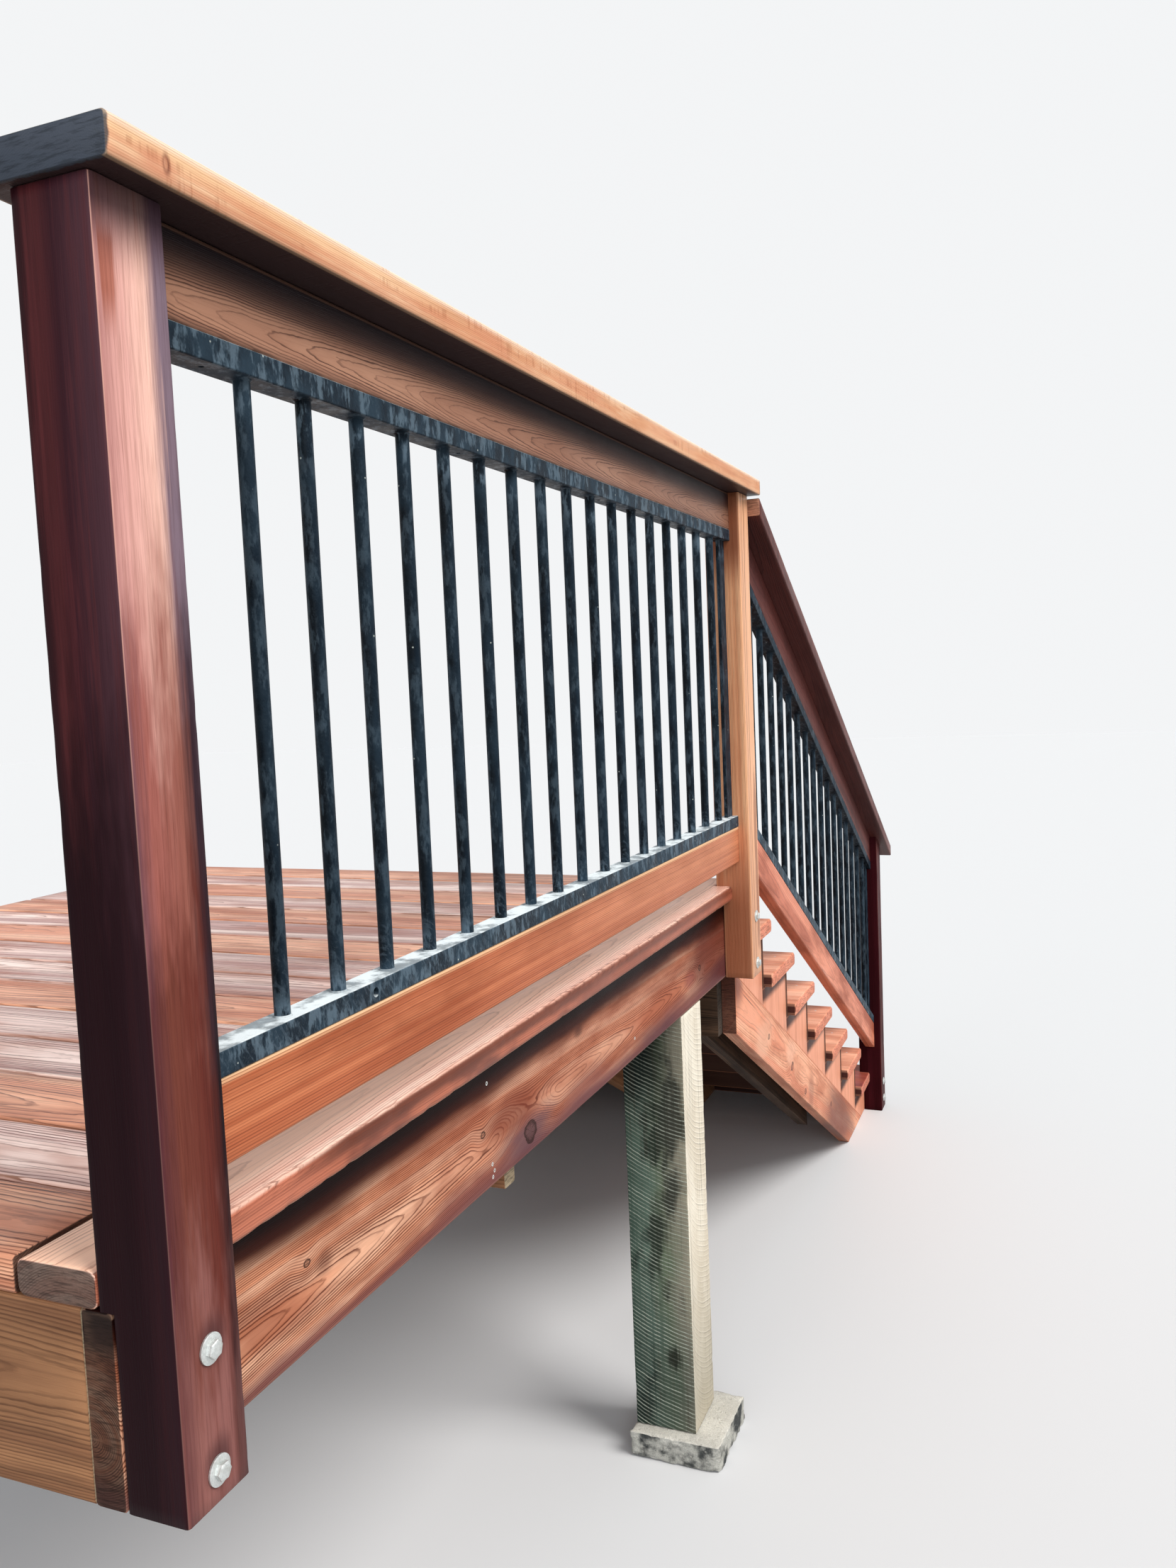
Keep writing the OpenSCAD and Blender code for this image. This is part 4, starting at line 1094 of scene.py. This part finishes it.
def treads():
    tones = (0.4, 0.3, 0.35, 0.2, 0.3, 0.25, 0.95)
    for k in range(1, TREAD_COUNT + 1):
        t = Timber("cedar_tread_%d" % k, "tread_%d" % k, "stair_cedar", WOODS["tread"], 50 + k)
        y0 = step_y(k) + RISER_T + TREAD_GAP
        z = (DECK_Z - k * RISE - TREAD_T, DECK_Z - k * RISE)
        stations = level(INNER_X, EDGE_OVER, y0, y0 + TREAD_DEPTH, *z)
        if k == TREAD_COUNT:
            stations = [(INNER_X, y0, y0 + TREAD_DEPTH) + z, (-POST_NOTCH, y0, y0 + TREAD_DEPTH) + z,
                        (-POST_NOTCH, y0, BOTTOM_Y) + z, (EDGE_OVER, y0, BOTTOM_Y) + z]
        t.board(stations, along_x, (t.random.uniform(-40, 40), -t.random.uniform(60, 100)), radius=9, step=30,
                worn=0.7, chips=0.7, tone=tones[k - 1], ease=4.0)
        t.make()
    t = Timber("cedar_riser_boards", "riser_boards", "stair_cedar", WOODS["riser"], 60)
    tones = (0.3, 0.2, 0.4, 0.25, 0.35, 0.2, 0.3, 0.9)
    for k in range(1, RISER_COUNT + 1):
        top = FRAME_TOP if k == 1 else bearing(k - 1)
        foot = 0 if k == RISER_COUNT else bearing(k)
        t.board(level(INNER_X, 0, step_y(k), step_y(k) + RISER_T, foot, top), along_x,
                (-70, t.random.uniform(-20, 20)), radius=1.5, step=60, tone=tones[k - 1], ease=0.8)
    t.make()


def supports():
    t = Timber("sawn_support_posts", "support_posts", "old_wood", SAWN, 71)
    for x in (-SUPPORT_W, INNER_X):
        t.board(level(PIER_H, FRAME_FOOT, x, x + SUPPORT_W, SUPPORT_Y, SUPPORT_Y + SUPPORT_W), along_z,
                (SAWN_HEART, SAWN_HEART), radius=3, step=8, worn=1.6, chips=2.5, flat=10)
    t.make()


def pier_blocks():
    """Blocks cast rough: each skin point is set in by a few millimetres of noise, more along the edges."""
    whole = bmesh.new()
    y = SUPPORT_Y + SUPPORT_W / 2
    cuts, edge_zone, skin, broken = 44, 12, 1.8, 4.5
    half = Vector((PIER_W / 2, PIER_W / 2, PIER_H / 2))
    for x in (PIER_OUT - PIER_W / 2, INNER_X + PIER_W / 2):
        first = len(whole.verts)
        corners = bmesh.ops.create_cube(whole, size=1.0)["verts"]
        sides = list({e for v in corners for e in v.link_edges})
        bmesh.ops.subdivide_edges(whole, edges=sides, cuts=cuts, use_grid_fill=True)
        for v in list(whole.verts)[first:]:
            p = v.co * 2 * half
            depths = [half[i] - abs(p[i]) for i in range(3)]
            near_edge = max(0.0, 1 - sorted(depths)[1] / edge_zone)
            seat = p + Vector((x, y, half.z))
            rough = noise.noise(seat * 0.11) + 0.6 * noise.noise(seat * 0.3)
            lump = max(0.0, 0.35 + noise.noise(seat * 0.035) + 0.4 * noise.noise(seat * 0.1))
            dent = skin * (0.9 + 0.6 * rough) + broken * lump * near_edge
            for i in range(3):
                share = max(0.0, 1 - depths[i] / edge_zone)
                p[i] -= (dent * share) * (1 if p[i] > 0 else -1)
            p.z = max(p.z, -half.z)
            v.co = CORNER + (p + Vector((x, y, half.z))) * MM
    bmesh.ops.recalc_face_normals(whole, faces=whole.faces)
    mesh = bpy.data.meshes.new("concrete_pier_blocks")
    whole.to_mesh(mesh)
    whole.free()
    mesh.shade_smooth()
    piece = add_object("concrete_pier_blocks", mesh)
    mesh.materials.append(CONCRETE)
    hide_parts("pier_blocks")
    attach(piece, "root")


for build in (deck_boards, border_board, frame_boards, guard_posts, rails, stringers, treads, supports,
              pier_blocks):
    build()


# ---------------------------------------------------------------- bolts, screws and welds

SMALL_SHARP_FROM = 38


class Pattern(Tree):
    """A Geometry Nodes tree that sets one small form on many points, and a plain mesh made from it."""

    def __init__(self, name, inputs):
        super().__init__(bpy.data.node_groups.new(name, "GeometryNodeTree"))
        face = self.tree.interface
        face.new_socket("Seats", in_out="INPUT", socket_type="NodeSocketGeometry")
        for label, value in inputs.items():
            face.new_socket(label, in_out="INPUT", socket_type="NodeSocketFloat").default_value = value
        face.new_socket("Pieces", in_out="OUTPUT", socket_type="NodeSocketGeometry")
        self.given = self.tree.nodes.new("NodeGroupInput").outputs
        self.result = self.tree.nodes.new("NodeGroupOutput").inputs[0]

    def inset_top(self, mesh, top, share, lift):
        """Raises the top face by lift and shrinks it to a share of its size."""
        up = self.node("GeometryNodeExtrudeMesh", {"Mesh": mesh, "Selection": top, "Offset Scale": lift},
                       mode="FACES")
        small = self.node("GeometryNodeScaleElements", {"Geometry": up.outputs["Mesh"],
                                                        "Selection": up.outputs["Top"], "Scale": share})
        return small.outputs[0], up.outputs["Top"]

    def seat(self, form, material, turn=0.0):
        """Sets the form on each seat, with its Z along the seat's facing, and ends the tree."""
        facing = self.node("GeometryNodeInputNamedAttribute", {"Name": "facing"}, data_type="FLOAT_VECTOR")
        upright = self.node("FunctionNodeAlignRotationToVector", {"Vector": facing.outputs[0]}, axis="Z")
        spin = self.node("FunctionNodeRandomValue", {"Min": 0.0, "Max": turn, "Seed": 7}, data_type="FLOAT")
        axes = self.node("ShaderNodeCombineXYZ", {2: spin.outputs[1]})
        euler = self.node("FunctionNodeEulerToRotation", {0: axes.outputs[0]})
        spun = self.node("FunctionNodeRotateRotation", {0: upright.outputs[0], 1: euler.outputs[0]},
                         rotation_space="LOCAL")
        placed = self.node("GeometryNodeInstanceOnPoints", {"Points": self.given["Seats"], "Instance": form,
                                                            "Rotation": spun.outputs[0]})
        real = self.node("GeometryNodeRealizeInstances", {0: placed.outputs[0]})
        painted = self.node("GeometryNodeSetMaterial", {"Geometry": real.outputs[0], "Material": material})
        self.feed(self.result, painted.outputs[0])

    def make(self, name, seats, slot, replaces=None):
        """A plain mesh piece from a list of (place, facing) seats."""
        mesh = bpy.data.meshes.new(name + "_seats")
        mesh.from_pydata([CORNER + Vector(p) * MM for p, facing in seats], [], [])
        layer = mesh.attributes.new("facing", "FLOAT_VECTOR", "POINT")
        layer.data.foreach_set("vector", [c for p, facing in seats for c in facing])
        seated = add_object(name + "_seats", mesh)
        seated.modifiers.new("pattern", "NODES").node_group = self.tree
        bpy.context.view_layer.update()
        evaluated = seated.evaluated_get(bpy.context.evaluated_depsgraph_get())
        made = bpy.data.meshes.new_from_object(evaluated)
        made.name = name
        made.set_sharp_from_angle(angle=radians(SMALL_SHARP_FROM))
        piece = add_object(name, made)
        bpy.data.objects.remove(seated)
        if replaces:
            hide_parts(replaces)
        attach(piece, "root")


def lag_bolts():
    """A washer with an eased rim, and a hex head with a chamfered top."""
    p = Pattern("lag_bolt", {"Washer Radius": 0.0148, "Washer Thickness": WASHER_T * MM, "Head Width": 0.016,
                             "Head Height": 0.007})
    thickness, height = p.given["Washer Thickness"], p.given["Head Height"]
    washer = p.node("GeometryNodeMeshCylinder", {"Vertices": 40, "Radius": p.given["Washer Radius"],
                                                 "Depth": p.times(thickness, 0.75)})
    rim, _ = p.inset_top(washer.outputs["Mesh"], washer.outputs["Top"], 0.94, p.times(thickness, 0.25))
    rim = p.node("GeometryNodeTransform", {"Geometry": rim, "Translation": (0, 0, WASHER_T * 0.375 * MM)})
    head = p.node("GeometryNodeMeshCylinder", {"Vertices": 6, "Depth": p.times(height, 0.72),
                                               "Radius": p.calc("DIVIDE", p.given["Head Width"], sqrt(3))})
    shoulder, top = p.inset_top(head.outputs["Mesh"], head.outputs["Top"], 0.88, p.times(height, 0.14))
    crown, _ = p.inset_top(shoulder, top, 0.72, p.times(height, 0.08))
    lift = p.node("ShaderNodeCombineXYZ", {2: p.plus(thickness, p.times(height, 0.36))})
    head = p.node("GeometryNodeTransform", {"Geometry": crown, "Translation": lift.outputs[0]})
    both = p.node("GeometryNodeJoinGeometry")
    for part in (rim, head):
        p.feed(both.inputs[0], part.outputs[0])
    p.seat(both.outputs[0], ZINC, turn=1.0)
    face = POST_W - POST_NOTCH
    seats = [((face, y + POST_W / 2, DECK_Z - drop), (1, 0, 0)) for y in (0, MIDDLE_Y) for drop in BOLT_DROP]
    seats += [((face, BOTTOM_Y + POST_W / 2, z), (1, 0, 0)) for z in FOOT_BOLT_Z]
    p.make("zinc_lag_bolts", seats, "galvanised_steel", replaces="post_bolts")


def screws():
    """Small countersunk heads with a shallow round recess."""
    p = Pattern("screw_head", {"Head Radius": 0.0032, "Head Height": 0.0008})
    head = p.node("GeometryNodeMeshCylinder", {"Vertices": 14, "Radius": p.given["Head Radius"],
                                               "Depth": p.given["Head Height"]})
    rim, top = p.inset_top(head.outputs["Mesh"], head.outputs["Top"], 0.45, 0.0)
    drive, _ = p.inset_top(rim, top, 0.9, -0.0006)
    p.seat(drive, ZINC, turn=3.0)
    seats = []
    lines = [-BOARD_T / 2] + [-OLD_INSET - BOARD_T / 2 - (i + 1) * INNER_BAY for i in range(INNER_COUNT)]
    for k in range(1, TREAD_COUNT + 1):
        for x in lines:
            for y in (step_y(k) + SCREW_FROM_BACK, step_y(k) + RUN - SCREW_FROM_NOSE):
                if k < TREAD_COUNT or x < -POST_W or y < BOTTOM_Y - SCREW_TO_POST:
                    seats.append(((x, y, DECK_Z - k * RISE - SCREW_SUNK), (0, 0, 1)))
    seats += [((-SCREW_SUNK, y, z), (1, 0, 0)) for y, z in RIM_SCREWS]
    p.make("zinc_screw_heads", seats, "galvanised_steel")


def weld_beads():
    """A low fillet where each baluster meets its bar."""
    p = Pattern("weld_bead", {"Bar Radius": BAL_D / 2 * MM, "Bead Width": 0.0022, "Bead Height": 0.0018})
    radius = p.given["Bar Radius"]
    cone = p.node("GeometryNodeMeshCone", {"Vertices": 28, "Radius Top": radius,
                                           "Radius Bottom": p.plus(radius, p.given["Bead Width"]),
                                           "Depth": p.given["Bead Height"]})
    p.seat(cone.outputs[0], STEEL)
    bars = PANEL_Z + BAR_H, TOP_RAIL_Z - BAR_H
    raked_bars = RAKED_BOTTOM_Z + (RAIL_H + BAR_H) * PLUMB, RAKED_TOP_Z - (RAIL_H + BAR_H) * PLUMB
    for name, start, pitch, count, (foot, head), fall in (
            ("deck_panel_welds", POST_W + BAL_START, BAL_PITCH, BAL_COUNT, bars, 0.0),
            ("stair_panel_welds", DECK_LEN + RAKED_START, RAKED_PITCH, RAKED_COUNT, raked_bars, RAIL_FALL)):
        seats = []
        up = Vector((0, sin(atan(fall)), cos(atan(fall))))
        for i in range(count):
            y = start + i * pitch
            down = (y - DECK_LEN) * fall
            seats += [((RAIL_X, y, foot - down), up), ((RAIL_X, y, head - down), -up)]
        p.make(name, seats, "painted_steel")


for build in (lag_bolts, screws, weld_beads):
    build()

for node in ("deck_panel", "stair_panel"):
    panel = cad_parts[node]
    panel.data.materials.clear()
    panel.data.materials.append(STEEL)


# ---------------------------------------------------------------- floor, light and camera

FLOOR_TONE = (0.675, 0.682, 0.690, 1.0)
FLOOR_BOUNCE = (0.30, 0.29, 0.28, 1.0)
FLOOR_SIDE = 60
BACKDROP_TONE = (0.90, 0.91, 0.92, 1.0)
SOFT_LIGHT_TONE = (0.93, 0.97, 1.0, 1.0)
SOFT_LIGHT = 0.52
YAW, PITCH, ROLL = -0.3887, -0.0847, -0.0427
FOCAL_PX, PHOTO_LONG_PX, SENSOR = 1696.8, 2212, 36.0
CAMERA_PLACE = (830.1, -812.2, 1808.9)

floor_mesh = bpy.data.meshes.new("floor")
half = FLOOR_SIDE / 2
floor_mesh.from_pydata([(-half, -half, 0), (half, -half, 0), (half, half, 0), (-half, half, 0)], [],
                       [(0, 1, 2, 3)])
floor = add_object("floor", floor_mesh)
paper = Finish("pale_floor", Roughness=0.9)
paper.feed(paper.shader.inputs["Base Color"], paper.blend(paper.shown_plainly(), FLOOR_BOUNCE, FLOOR_TONE))
floor_mesh.materials.append(paper.material)

world = bpy.data.worlds.new("studio")
world.use_nodes = True
bpy.context.scene.world = world
studio = Tree(world.node_tree)
seen = studio.tree.nodes["Background"]
studio.feed(seen.inputs["Color"], BACKDROP_TONE)
soft = studio.node("ShaderNodeBackground", {"Color": SOFT_LIGHT_TONE, "Strength": SOFT_LIGHT})
choose = studio.node("ShaderNodeMixShader", {0: studio.shown_plainly(), 1: soft.outputs[0],
                                             2: seen.outputs[0]})
studio.feed(studio.tree.nodes["World Output"].inputs["Surface"], choose.outputs[0])

# Two distant lamps: the way to each, its strength, its width in degrees and its colour
for name, towards, strength, spread, colour in (("key", (1.0, -0.15, 1.15), 2.8, 30, (1.0, 0.97, 0.94)),
                                                ("fill", (0.2, -1.0, 0.3), 1.65, 60, (0.95, 0.97, 1.0))):
    light = bpy.data.lights.new(name, "SUN")
    light.energy = strength
    light.angle = radians(spread)
    light.color = colour
    lamp = add_object(name, light)
    lamp.rotation_mode = "QUATERNION"
    lamp.rotation_quaternion = Vector(towards).to_track_quat("Z", "Y")

ahead = Vector((sin(YAW) * cos(PITCH), cos(YAW) * cos(PITCH), sin(PITCH)))
right = Vector((cos(YAW), -sin(YAW), 0))
above = right.cross(ahead)
level_right = right * cos(ROLL) + above * sin(ROLL)
level_up = above * cos(ROLL) - right * sin(ROLL)
lens = bpy.data.cameras.new("camera")
lens.lens = FOCAL_PX / PHOTO_LONG_PX * SENSOR
lens.sensor_width = SENSOR
lens.clip_end = 100
camera = add_object("camera", lens)
turned = Matrix((level_right, level_up, -ahead)).transposed().to_4x4()
camera.matrix_world = Matrix.Translation(CORNER + Vector(CAMERA_PLACE) * MM) @ turned
bpy.context.scene.camera = camera
bpy.context.scene.view_settings.view_transform = "Standard"
